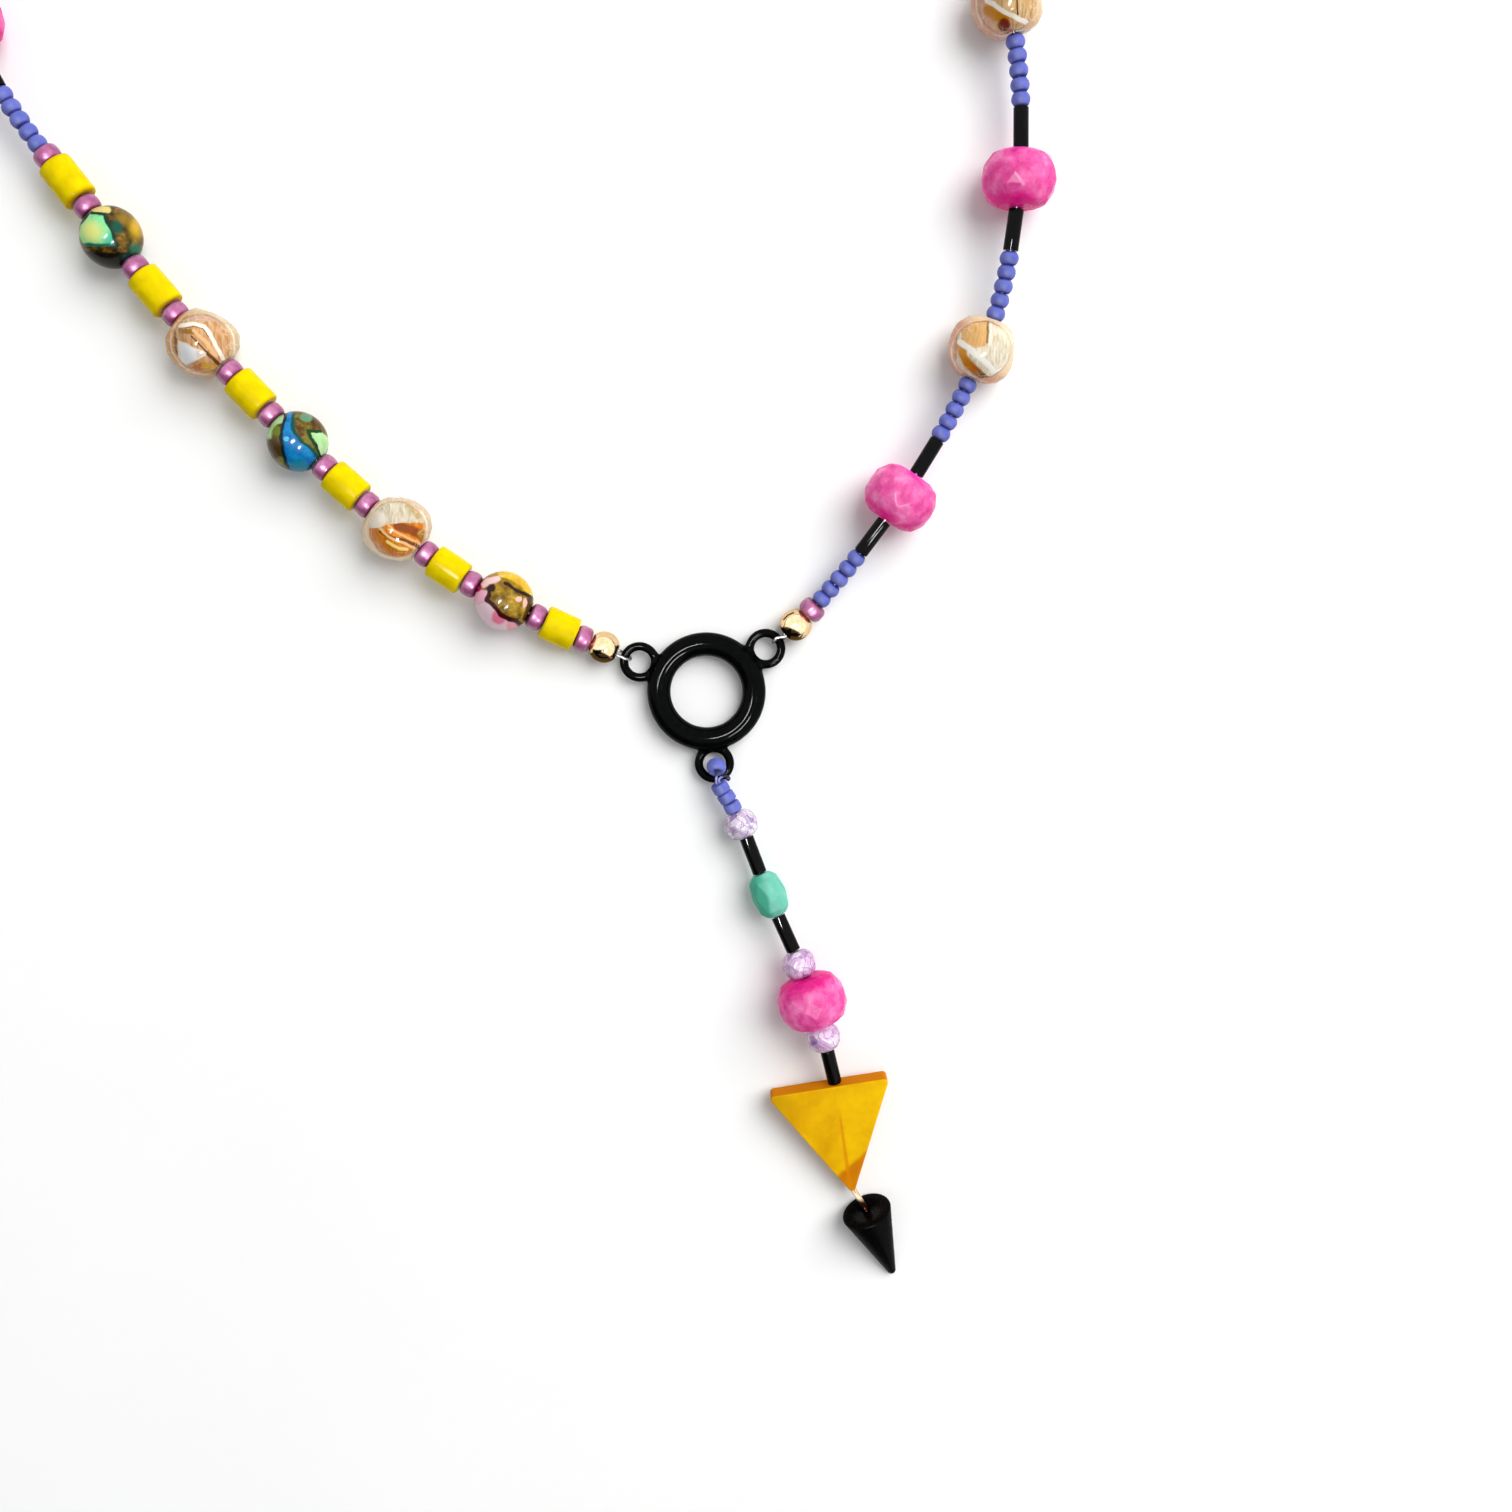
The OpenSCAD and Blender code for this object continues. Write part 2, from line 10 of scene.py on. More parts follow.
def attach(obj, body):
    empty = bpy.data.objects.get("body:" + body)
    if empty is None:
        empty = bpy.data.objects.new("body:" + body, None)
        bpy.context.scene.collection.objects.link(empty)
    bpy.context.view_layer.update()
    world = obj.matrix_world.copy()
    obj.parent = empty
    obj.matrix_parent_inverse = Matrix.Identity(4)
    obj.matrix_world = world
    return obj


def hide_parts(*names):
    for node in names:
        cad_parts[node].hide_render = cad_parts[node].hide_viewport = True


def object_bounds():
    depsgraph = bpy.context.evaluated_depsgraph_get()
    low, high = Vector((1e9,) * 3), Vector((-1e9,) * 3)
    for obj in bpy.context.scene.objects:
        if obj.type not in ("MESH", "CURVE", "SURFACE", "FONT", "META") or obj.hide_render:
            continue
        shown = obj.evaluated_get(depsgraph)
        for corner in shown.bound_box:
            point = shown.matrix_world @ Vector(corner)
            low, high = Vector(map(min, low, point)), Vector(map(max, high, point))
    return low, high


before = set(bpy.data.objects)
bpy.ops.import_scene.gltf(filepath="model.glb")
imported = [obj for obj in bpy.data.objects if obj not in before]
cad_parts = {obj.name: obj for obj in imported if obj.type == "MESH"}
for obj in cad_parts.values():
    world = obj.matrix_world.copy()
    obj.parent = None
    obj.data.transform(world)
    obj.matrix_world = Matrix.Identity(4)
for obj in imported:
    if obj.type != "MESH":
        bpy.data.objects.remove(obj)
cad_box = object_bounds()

MM = 0.001

# Where the ring's centre lies in the frame of the whole necklace, in millimetres as every size here
RING_CENTRE = Vector((27.5, -41.5, 0))

# The ring and its three eyes
RING_D = 15.2
RING_WIRE = 3.0
RING_Z = RING_WIRE / 2
EYE_D = 5.1
EYE_WIRE = 1.1
EYE_REACH = 9.35
EYE_Z = RING_Z - 0.15
EYE_RADIUS = (EYE_D - EYE_WIRE) / 2
EYE_ANGLES = {"left": 156, "right": 36, "drop": 276}

# The beads
BORE_D = 1.2
BEAD_GAP = 0.17
GOLD_D = 4.0
GOLD_LEN = 3.5
MOSAIC_D = 7.4
MOSAIC_LEN = 6.9
TUBE_D = 4.3
TUBE_LEN = 4.3
TUBE_GROWTH = 0.18
TUBE_CORNER = 0.35
SPACER_D = 3.35
SPACER_LEN = 1.85
BUGLE_D = 1.85
BUGLE_LEN = 4.9
SEED_D = 2.3
SEED_LEN = 1.51
DROP_SEED_LEN = 1.33
RONDELLE_D = 9.1
RONDELLE_LEN = 6.6
NUGGET_D = 8.1
NUGGET_LEN = 7.3
LILAC_D = 4.5
LILAC_LEN = 3.4
MINT_D = 4.6
MINT_LEN = 5.8

# The pendant and the stringing
TRIANGLE_W = 16.2
TRIANGLE_H = 15.7
TRIANGLE_T = 2.8
TRIANGLE_SKEW = 1.0
TRIANGLE_CORNER = 0.5
CONE_D = 6.7
CONE_LEN = 11.2
WIRE_D = 0.38
THREAD_D = 0.3
LINK_D = 0.8
LEFT_TAIL = 13
RIGHT_TAIL = 14
CLASP_D = 5.0

# The wires' routes, x and y from the ring's centre and z above the table, as the part's own
LEFT_ROUTE = [
    (-10.4, 4.6, 2.0), (-13, 5.8, 2.1), (-18.5, 8.1, 2.8), (-25, 11.6, 3.9), (-31.7, 15.1, 3.8),
    (-38.2, 20.3, 3.95), (-44.7, 25.9, 3.8), (-50.3, 31.1, 3.8), (-56, 37.1, 3.8), (-61.7, 43.2, 3.95),
    (-67.4, 49.7, 3.8), (-72.4, 56, 3.8), (-77.4, 62.6, 3.55), (-82.3, 69.1, 3.75), (-86.2, 76, 4.2),
    (-90, 85.2, 4.6), (-92.5, 95, 4.25), (-93.6, 106, 4.0), (-93, 117, 4.25), (-90.4, 128, 4.65),
    (-86, 138, 4.25), (-79.5, 147, 4.0), (-73.3, 152.4, 3.6), (-66.4, 156.6, 3.1), (-59.2, 159.2, 2.6),
]
RIGHT_ROUTE = [
    (9.2, 6.8, 2.0), (11.4, 8.4, 2.1), (15.3, 12.6, 2.6), (19.6, 17.9, 3.6), (24, 24, 4.65),
    (27.8, 29.9, 4.3), (31.2, 35.8, 4.0), (34.3, 42.5, 4.0), (36.7, 50.5, 4.2), (38.1, 61, 4.6),
    (38.2, 72, 4.3), (36.6, 82.8, 4.0), (33.2, 93, 4.2), (28.4, 103, 4.6), (22.2, 112.5, 4.3),
    (15, 121.5, 4.0), (6.6, 130, 4.25), (-2.6, 138, 4.75), (-12.5, 145.5, 4.3), (-22.6, 151.8, 3.95),
    (-33.2, 156.7, 3.3), (-43.6, 160, 2.6),
]
DROP_ROUTE = [
    (1.4, -11.6, 3.05), (2.2, -12.9, 2.85), (3, -14.2, 2.68), (3.7, -15.5, 2.58), (5.1, -18.8, 2.62),
    (6.9, -23.5, 2.95), (9.2, -29, 3.4), (11.3, -33.6, 4.05), (12.6, -36.9, 4.5), (14.7, -43.3, 4.4),
    (15.6, -46.7, 3.9), (16.7, -51.3, 3.05), (18.1, -59.5, 2.25),
]

# What is strung, as kind and length, from the ring outwards
GOLD = ("gold", GOLD_LEN)
MOSAIC = ("mosaic", MOSAIC_LEN)
SPACER = ("spacer", SPACER_LEN)
BUGLE = ("bugle", BUGLE_LEN)
RONDELLE = ("rondelle", RONDELLE_LEN)
NUGGET = ("nugget", NUGGET_LEN)
LILAC = ("lilac", LILAC_LEN)
MINT = ("mint", MINT_LEN)


def tube(number):
    return ("tube", TUBE_LEN + TUBE_GROWTH * (number - 1))


def seeds(count, length=SEED_LEN):
    return [("seed", length)] * count


PATTERN = [BUGLE, RONDELLE, BUGLE, *seeds(5), NUGGET, *seeds(5)]
LEFT_BEADS = [
    GOLD, SPACER, tube(1), SPACER, MOSAIC,
    SPACER, tube(2), SPACER, NUGGET, SPACER, tube(3), SPACER, MOSAIC,
    SPACER, tube(4), SPACER, NUGGET, SPACER, tube(5), SPACER, MOSAIC,
    SPACER, tube(6), SPACER, *seeds(5), *PATTERN * 2, *seeds(LEFT_TAIL - 5), SPACER, GOLD,
]
RIGHT_BEADS = [GOLD, SPACER, *seeds(5), *PATTERN * 4, *seeds(RIGHT_TAIL - 5), SPACER, GOLD]
DROP_BEADS = [*seeds(3, DROP_SEED_LEN), LILAC, BUGLE, MINT, BUGLE, LILAC, RONDELLE, LILAC, BUGLE]

CURVE_STEPS = 12


def curve_point(a, b, c, d, t):
    return (2 * b + (c - a) * t + (2 * a - 5 * b + 4 * c - d) * t ** 2 + (3 * b - a - 3 * c + d) * t ** 3) / 2


def smooth_line(points):
    """A smooth curve through given points, in short straight steps."""
    points = [Vector(p) for p in points]
    padded = [2 * points[0] - points[1], *points, 2 * points[-1] - points[-2]]
    line = [
        curve_point(*padded[i:i + 4], k / CURVE_STEPS)
        for i in range(len(points) - 1) for k in range(CURVE_STEPS)
    ]
    return line + [points[-1]]


class Strand:
    """A wire's route and the beads on it."""

    def __init__(self, name, beads, route, start):
        self.name = name
        self.beads = beads
        self.line = np.array([p[:] for p in smooth_line(route)])
        steps = np.linalg.norm(np.diff(self.line, axis=0), axis=1)
        self.lengths = np.concatenate([[0], np.cumsum(steps)])
        self.joints = start + np.concatenate([[0], np.cumsum([length + BEAD_GAP for _, length in beads])])
        self.places = [self.at(s) for s in self.joints]

    def at(self, s):
        return Vector([float(np.interp(s, self.lengths, self.line[:, axis])) for axis in range(3)])

    def sites(self, kind):
        return [i for i, bead in enumerate(self.beads) if bead[0] == kind]

    def middle(self, i):
        return (self.places[i] + self.places[i + 1]) / 2

    def direction(self, i):
        return (self.places[i + 1] - self.places[i]).normalized()

    def spot(self, i):
        return self.middle(i), self.direction(i)

    def end(self):
        return self.places[-1]


LEFT = Strand("left", LEFT_BEADS, LEFT_ROUTE, 1)
RIGHT = Strand("right", RIGHT_BEADS, RIGHT_ROUTE, 1)
DROP = Strand("drop", DROP_BEADS, DROP_ROUTE, 0)


def turn_to(direction):
    """Turns +Z to a direction; a bead's own X then points down and its Y sideways."""
    polar = math.acos(max(-1, min(1, direction.z)))
    compass = math.atan2(direction.y, direction.x)
    return Matrix.Rotation(compass, 3, "Z") @ Matrix.Rotation(polar, 3, "Y")


def square_to(z, x):
    """The direction nearest to x that is square to z."""
    return (x - z * x.dot(z)).normalized()


def place_at(middle, direction):
    """Where a bead's own frame lies, from its middle and its direction."""
    return Matrix.Translation(RING_CENTRE + middle) @ turn_to(direction).to_4x4()


def add_object(name, data):
    made = bpy.data.objects.new(name, data)
    bpy.context.scene.collection.objects.link(made)
    return made


# Camera, at the photograph's angle
CAMERA_FROM_RING = Vector((6.35, 20.75, 208.45))
CAMERA_TILT = 8
CAMERA_FOV = 50


def place_camera():
    camera = add_object("camera", bpy.data.cameras.new("camera"))
    camera.data.sensor_width = 36
    camera.data.angle = math.radians(CAMERA_FOV)
    camera.data.clip_start = 0.01
    camera.data.clip_end = 10
    camera.location = (RING_CENTRE + CAMERA_FROM_RING) * MM
    camera.rotation_euler = (math.radians(-CAMERA_TILT), 0, 0)
    bpy.context.scene.camera = camera


# The key light: its compass direction and height in degrees, its distance and size, and its watts
KEY_FROM = (42, 47)
KEY_DISTANCE = 1200
KEY_SIZE = (1000, 1000)
KEY_POWER = 17.6

# Panels seen only in shiny beads: name, lean to the right and up in degrees, size, turn and watts
GLINT_DISTANCE = 420
GLINTS = [
    ("strip_near", (-9.3, 2), (125, 20), 45, 3.4),
    ("strip_far", (15, -22.5), (100, 14), 45, 2.4),
    ("window_left", (-25, 1), (30, 24), 0, 0.07),
    ("window_right", (27, -11), (16, 16), 0, 0.02),
]

# The even light on everything, and the room that shiny beads see: how bright it is and where that changes
WORLD_LIGHT = 0.4
WORLD_TINT = (0.98, 1.0, 0.985, 1)
CEILING_SHINE = 1.35
WALL_SHINE = 0.3
HORIZON = (-0.02, 0.12)
CORNER_SHINE = 0.03
DARK_CORNER = (-0.42, -0.91, 0)
CORNER_EDGE = (0.46, 0.64)


def area_light(name, away, distance, size, power, turn=0, glints=False):
    """A soft panel that faces the ring from a direction; one for glints shows in shiny beads only."""
    light = add_object(name, bpy.data.lights.new(name, "AREA"))
    light.data.shape = "RECTANGLE"
    light.data.size, light.data.size_y = (side * MM for side in size)
    light.data.energy = power
    z = Vector(away).normalized()
    x = square_to(z, Vector(from_compass(turn, 0)))
    light.location = (RING_CENTRE + z * distance) * MM
    light.rotation_euler = Matrix((x, z.cross(x), z)).transposed().to_euler()
    light.visible_camera = False
    light.visible_glossy = glints
    light.visible_transmission = glints
    light.visible_diffuse = not glints


def from_compass(compass, height):
    turn, rise = math.radians(compass), math.radians(height)
    return math.cos(turn) * math.cos(rise), math.sin(turn) * math.cos(rise), math.sin(rise)


def from_overhead(right, up):
    """A direction near the zenith, by its lean to the right and up the picture in degrees."""
    return math.tan(math.radians(right)), math.tan(math.radians(up)), 1


def place_lights():
    area_light("key", from_compass(*KEY_FROM), KEY_DISTANCE, KEY_SIZE, KEY_POWER)
    for name, lean, size, turn, power in GLINTS:
        area_light(name, from_overhead(*lean), GLINT_DISTANCE, size, power, turn, glints=True)


def studio_world():
    """White all round for soft light; shiny beads see a bright ceiling, dim walls and a dark corner."""
    world = bpy.data.worlds.new("studio")
    bpy.context.scene.world = world
    world.use_nodes = True
    world.node_tree.nodes.clear()
    nodes = Nodes(world.node_tree)
    view = nodes.node("ShaderNodeTexCoord")
    height = nodes.parts(view)[2]
    ceiling = nodes.between(height, *HORIZON, WALL_SHINE, CEILING_SHINE, "LINEAR")
    towards = nodes.vector_maths("DOT_PRODUCT", view, DARK_CORNER, output=1)
    corner = nodes.between(towards, *CORNER_EDGE, 1.0, CORNER_SHINE)
    room, even, seen = (
        nodes.node("ShaderNodeBackground", sockets={"Color": colour, "Strength": strength})
        for colour, strength in (("#FFFFFF", ceiling * corner), (WORLD_TINT, WORLD_LIGHT), ("#FFFFFF", 1.0)))
    camera_ray, gloss_ray, glass_ray = (
        nodes.node("ShaderNodeLightPath", output=f"Is {kind} Ray")
        for kind in ("Camera", "Glossy", "Transmission"))
    shiny = nodes.maths("MAXIMUM", gloss_ray, glass_ray)
    surroundings = nodes.node("ShaderNodeMixShader", sockets={0: shiny, 1: even, 2: room})
    shown = nodes.node("ShaderNodeMixShader", sockets={0: camera_ray, 1: surroundings, 2: seen})
    nodes.node("ShaderNodeOutputWorld", sockets={"Surface": shown})


# Node trees, with their maths written as sums

def ink(code):
    """A colour written as on paper, in the renderer's linear values."""
    parts = [int(code[i:i + 2], 16) / 255 for i in (1, 3, 5)]
    return tuple(v / 12.92 if v <= 0.04045 else ((v + 0.055) / 1.055) ** 2.4 for v in parts) + (1.0,)


class Value:
    """A socket of a node tree that can be written into sums."""

    def __init__(self, nodes, socket):
        self.nodes = nodes
        self.socket = socket

    def __add__(self, other):
        return self.nodes.maths("ADD", self, other)

    def __sub__(self, other):
        return self.nodes.maths("SUBTRACT", self, other)

    def __rsub__(self, other):
        return self.nodes.maths("SUBTRACT", other, self)

    def __mul__(self, other):
        return self.nodes.maths("MULTIPLY", self, other)

    def __abs__(self):
        return self.nodes.maths("ABSOLUTE", self)

    __radd__ = __add__
    __rmul__ = __mul__


class Nodes:
    """Writes the nodes of one tree."""

    def __init__(self, tree):
        self.tree = tree

    def node(self, kind, settings=None, sockets=None, output=0):
        """Any node: its type, its settings, and the values or links of its sockets."""
        made = self.tree.nodes.new(kind)
        for name, value in (settings or {}).items():
            if name == "stops":
                self.set_stops(made.color_ramp, value)
            else:
                setattr(made, name, value)
        for key, value in (sockets or {}).items():
            self.feed(made.inputs[key], value)
        return Value(self, made.outputs[output]) if made.outputs else None

    def set_stops(self, ramp, stops):
        while len(ramp.elements) < len(stops):
            ramp.elements.new(1)
        for element, (position, colour) in zip(ramp.elements, stops):
            element.position = position
            element.color = ink(colour)

    def feed(self, socket, value):
        """Links a value, or sets a number, a name or a colour's code."""
        if isinstance(value, Value):
            self.tree.links.new(value.socket, socket)
        elif isinstance(value, str) and value.startswith("#"):
            socket.default_value = ink(value)
        else:
            socket.default_value = value

    def maths(self, operation, *terms):
        return self.node("ShaderNodeMath", {"operation": operation}, dict(enumerate(terms)))

    def vector_maths(self, operation, *terms, output=0):
        return self.node("ShaderNodeVectorMath", {"operation": operation}, dict(enumerate(terms)), output)

    def scaled(self, vector, share):
        return self.node("ShaderNodeVectorMath", {"operation": "SCALE"}, {0: vector, "Scale": share})

    def vector(self, *parts):
        return self.node("ShaderNodeCombineXYZ", sockets=dict(enumerate(parts)))

    def between(self, value, low, high, at_low=0.0, at_high=1.0, kind="SMOOTHSTEP"):
        """From one value at low to another at high, level beyond; a low above high turns it round."""
        return self.node("ShaderNodeMapRange", {"interpolation_type": kind}, {
            "Value": value, "From Min": low, "From Max": high, "To Min": at_low, "To Max": at_high})

    def parts(self, vector):
        separate = self.node("ShaderNodeSeparateXYZ", sockets={0: vector}).socket.node
        return [Value(self, socket) for socket in separate.outputs]


# How far apart neighbouring beads are in the noise, and half the width of a facet's soft edge
BEAD_STRIDE = (4.3, 2.9, 6.1)
FACET_EDGE = 0.04


class Finish(Nodes):
    """One material: a shader with its fixed settings, and the nodes that vary it over the surface."""

    def __init__(self, name, **settings):
        self.material = bpy.data.materials.new(name)
        self.material.use_nodes = True
        super().__init__(self.material.node_tree)
        self.shader = self.tree.nodes["Principled BSDF"]
        for key, value in settings.items():
            self.shader.inputs[key.replace("_", " ").title().replace("Ior", "IOR")].default_value = value

    def attribute(self, name, output="Vector"):
        return self.node("ShaderNodeAttribute", {"attribute_name": name}, output=output)

    def noise(self, vector, scale, detail=2.0, roughness=0.5, output=0):
        sockets = {"Vector": vector, "Scale": scale, "Detail": detail, "Roughness": roughness}
        return self.node("ShaderNodeTexNoise", sockets=sockets, output=output)

    def cells(self, vector, scale, feature="F1", output=0):
        sockets = {"Vector": vector, "Scale": scale}
        return self.node("ShaderNodeTexVoronoi", {"feature": feature}, sockets, output)

    def ramp(self, value, stops):
        return self.node("ShaderNodeValToRGB", {"stops": stops}, {0: value})

    def mix(self, share, first, second):
        return self.node("ShaderNodeMix", {"data_type": "RGBA"}, {0: share, 6: first, 7: second}, output=2)

    def shifted(self, vector, share, scale):
        """A place pushed about by noise, for edges that wander."""
        wander = self.vector_maths("SUBTRACT", self.noise(vector, scale, 2, 0.5, output=1), (0.5, 0.5, 0.5))
        return self.vector_maths("ADD", vector, self.scaled(wander, share))

    def blob(self, place, centre, radius, stretch=(1, 1), edge=0.25):
        """1 inside a patch round a flat centre, 0 outside."""
        away = self.vector_maths("SUBTRACT", place, (*centre, 0))
        away = self.vector_maths("MULTIPLY", away, (*stretch, 0))
        length = self.vector_maths("LENGTH", away, output=1)
        return self.between(length, radius * (1 + edge), radius * (1 - edge))

    def stroke(self, place, points, width):
        """1 along a line through flat points, 0 beyond its width."""
        nearest = None
        for start, end in zip(points, points[1:]):
            start, along = Vector((*start, 0)), Vector((end[0] - start[0], end[1] - start[1], 0))
            away = self.vector_maths("SUBTRACT", place, tuple(start))
            away = self.vector_maths("MULTIPLY", away, (1, 1, 0))
            share = self.vector_maths("DOT_PRODUCT", away, tuple(along / along.length_squared), output=1)
            share = self.node("ShaderNodeClamp", sockets={0: share})
            length = self.vector_maths("DISTANCE", away, self.scaled(tuple(along), share), output=1)
            nearest = length if nearest is None else self.maths("MINIMUM", nearest, length)
        return self.between(nearest, width, width / 2)

    def facet(self, place, corners):
        """1 inside a flat convex outline whose corners run anticlockwise."""
        inside = None
        for here, there in zip(corners, corners[1:] + corners[:1]):
            side = Vector((here[1] - there[1], there[0] - here[0], 0)).normalized()
            depth = self.vector_maths("DOT_PRODUCT", place, tuple(side), output=1)
            depth = depth - side.dot(Vector((*here, 0)))
            inside = depth if inside is None else self.maths("MINIMUM", inside, depth)
        return self.between(inside, -FACET_EDGE, FACET_EDGE)

    def paint(self, colour, place, marks):
        """Lays marks over a colour: each a shape, its measures, its paint and how much it covers."""
        for kind, measures, paint, *cover in marks:
            mask = getattr(self, kind)(place, *measures)
            if cover:
                mask = mask * cover[0]
            colour = self.mix(mask, colour, paint)
        return colour

    def own_place(self):
        """The place in the bead, moved off by the bead's number so that no two beads match."""
        number = self.attribute("bead_number", "Fac")
        away = self.vector(*(number * stride for stride in BEAD_STRIDE))
        return self.vector_maths("ADD", self.attribute("bead_place"), away)

    def bump(self, height, strength, distance):
        sockets = {"Height": height, "Strength": strength, "Distance": distance * MM}
        return self.node("ShaderNodeBump", sockets=sockets)

    def dress(self, colour=None, roughness=None, normal=None, metallic=None):
        for name, value in (("Base Color", colour), ("Roughness", roughness), ("Normal", normal),
                            ("Metallic", metallic)):
            if value is not None:
                self.feed(self.shader.inputs[name], value)
        return self.material


def black_enamel():
    finish = Finish("black_enamel", specular_ior_level=0.03)
    place = finish.attribute("bead_place")
    grain = finish.noise(place, 1.3, 3)
    fine = finish.noise(place, 9, 2)
    colour = finish.ramp(grain, [(0.3, "#020303"), (0.7, "#070908")])
    return finish.dress(colour, 0.05 + 0.04 * fine, finish.bump(grain + 0.1 * fine, 0.05, 0.05))


def silver_wire():
    finish = Finish("silver_wire", metallic=1.0)
    place = finish.node("ShaderNodeTexCoord", output="Object")
    strands = finish.noise(place, 2600, 2)
    return finish.dress(finish.ramp(strands, [(0.3, "#6E6E70"), (0.7, "#ACACAE")]), 0.32 + 0.15 * strands)


def lavender_thread():
    """Painted shade makes it dark where it turns round the eye; it stays pale lavender in the small knot
    under the seed in the eye.
    """
    finish = Finish("lavender_thread", sheen_weight=0.1, specular_ior_level=0.2)
    place = finish.node("ShaderNodeTexCoord", output="Object")
    fibre = finish.noise(place, 3000, 2)
    knot = (RING_CENTRE + eye_point(EYE_ANGLES["drop"], 11.35, 0.4, 3)) * MM
    away = finish.vector_maths("DISTANCE", place, tuple(knot), output=1)
    dark = finish.ramp(fibre, [(0.3, "#14163A"), (0.75, "#2A2E62")])
    pale = finish.ramp(fibre, [(0.3, "#8A8CCC"), (0.75, "#B0B2EA")])
    # Painted shade: the thread is dark away from the knot, as if the eye shaded it.
    colour = finish.mix(finish.between(away, 0.8 * MM, 0.45 * MM), dark, pale)
    return finish.dress(colour, 0.6 + 0.2 * fibre)


def gold_polish(name="gold_polish", seam=False):
    """Polished gold with a painted reflection of dark surroundings on its lower side, towards the left."""
    finish = Finish(name, metallic=1.0, specular_tint=(0.8, 0.62, 0.42, 1))
    place = finish.own_place()
    dents = finish.noise(place, 0.8, 2)
    colour = finish.ramp(finish.noise(place, 1.6, 3), [(0.25, "#EEC88E"), (0.75, "#FAE6C2")])
    offset = finish.attribute("bead_offset")
    x, y, _ = finish.parts(offset)
    # Painted reflection: the lower side, towards the left, turns dark brown as if mirroring dark, shaded
    # surroundings.
    shade = finish.between(y + 0.42 * x + 3 * finish.noise(place, 1.2, 3), 0.7, 0.5)
    colour = finish.mix(shade * 0.96, colour, "#2E1C06")
    if seam:
        line = finish.stroke(offset, [(-1.5, 0.7), (-1.0, 1.25), (-0.3, 1.55)], 0.12)
        colour = finish.mix(line, colour, "#2A1606")
    return finish.dress(colour, 0.05 + 0.08 * dents, finish.bump(dents, 0.25, 0.12))


def yellow_glaze():
    """Glossy and a little wavy, with painted shade darkening it towards the tube's ends."""
    finish = Finish("yellow_glaze", specular_ior_level=0.03)
    place = finish.attribute("bead_place")
    z = finish.parts(place)[2]
    cloud = finish.noise(finish.own_place(), 0.7, 3)
    colour = finish.ramp(cloud, [(0.3, "#D8BC00"), (0.65, "#E8CE00")])
    # Painted shade: the tube turns brown towards its ends, where they fall into shade.
    ends = finish.between(abs(z), TUBE_LEN / 2 - 0.15, TUBE_LEN / 2 + 0.45)
    colour = finish.mix(ends * 0.5, colour, "#B88600")
    wobble = finish.noise(finish.vector_maths("MULTIPLY", place, (1, 1, 0.35)), 1.5, 2)
    return finish.dress(colour, 0.12 + 0.15 * cloud, finish.bump(wobble, 0.3, 0.12))


def mauve_lustre():
    """Pearly, and dark red round the hole."""
    finish = Finish("mauve_lustre", specular_ior_level=0.2, coat_weight=0.5, coat_roughness=0.03)
    place = finish.attribute("bead_place")
    z = finish.parts(place)[2]
    cloud = finish.noise(place, 0.9, 2)
    colour = finish.ramp(cloud, [(0.3, "#94487A"), (0.5, "#A65E8A"), (0.72, "#BA7CA2")])
    hole = finish.between(abs(z), 0.34 * SPACER_LEN, 0.54 * SPACER_LEN)
    colour = finish.mix(hole * 0.85, colour, "#5A0A24")
    return finish.dress(colour, 0.36, finish.bump(finish.noise(place, 1.5, 2), 0.35, 0.14), 0.25)


def black_glass():
    """Fine streaks along the bead."""
    finish = Finish("black_glass", specular_ior_level=0.08)
    place = finish.attribute("bead_place")
    streak = finish.noise(finish.vector_maths("MULTIPLY", place, (1, 1, 0.2)), 2.2, 2)
    return finish.dress(finish.ramp(streak, [(0.3, "#030304"), (0.7, "#08080A")]), 0.04 + 0.05 * streak)


def blue_matte(name="blue_matte", length=SEED_LEN):
    """Matt blue, with painted shade darkening it where the seeds meet."""
    finish = Finish(name, specular_ior_level=0.3, sheen_weight=0.1)
    place = finish.attribute("bead_place")
    z = finish.parts(place)[2]
    cloud = finish.noise(finish.own_place(), 0.9, 3)
    colour = finish.ramp(cloud, [(0.25, "#4852A6"), (0.5, "#5862B6"), (0.8, "#6A72C4")])
    # Painted shade: navy towards each end, where the seeds meet and shade one another.
    ends = finish.between(abs(z), 0.36 * length, 0.52 * length)
    colour = finish.mix(ends * 0.9, colour, "#10187C")
    fine = finish.noise(place, 12, 2)
    return finish.dress(colour, 0.5 + 0.2 * fine, finish.bump(fine, 0.2, 0.03))


def pink_quartz():
    """Cloudy pink stone, deeper at one end and round the other end's hole, with a faint painted glow of its
    own colour standing in for light through the stone.
    """
    # The emission is painted light: the stone glows faintly, so its shaded side stays bright.
    finish = Finish("pink_quartz", specular_ior_level=0.08, emission_strength=0.2,
                    subsurface_weight=0.3, subsurface_radius=(1.0, 0.35, 0.6), subsurface_scale=0.8 * MM)
    place = finish.attribute("bead_place")
    z = finish.parts(place)[2]
    moved = finish.own_place()
    cloud = finish.noise(finish.shifted(moved, 1.4, 0.5), 0.42, 4, 0.6)
    colour = finish.ramp(cloud, [(0.32, "#C62C80"), (0.45, "#D24A90"), (0.57, "#DC66A2"), (0.72, "#E68ABA")])
    blotch = finish.between(z + 1.6 * cloud, -0.25 * RONDELLE_LEN + 0.6, -0.48 * RONDELLE_LEN + 0.8)
    colour = finish.mix(blotch * 0.9, colour, "#CC0676")
    hole = finish.between(z, 0.4 * RONDELLE_LEN, 0.5 * RONDELLE_LEN)
    colour = finish.mix(hole * 0.8, colour, "#E030A8")
    # Painted glow: the stone's colour also feeds its emission.
    finish.feed(finish.shader.inputs["Emission Color"], colour)
    return finish.dress(colour, 0.16 + 0.2 * cloud, finish.bump(finish.noise(moved, 1.4, 2), 0.12, 0.1))


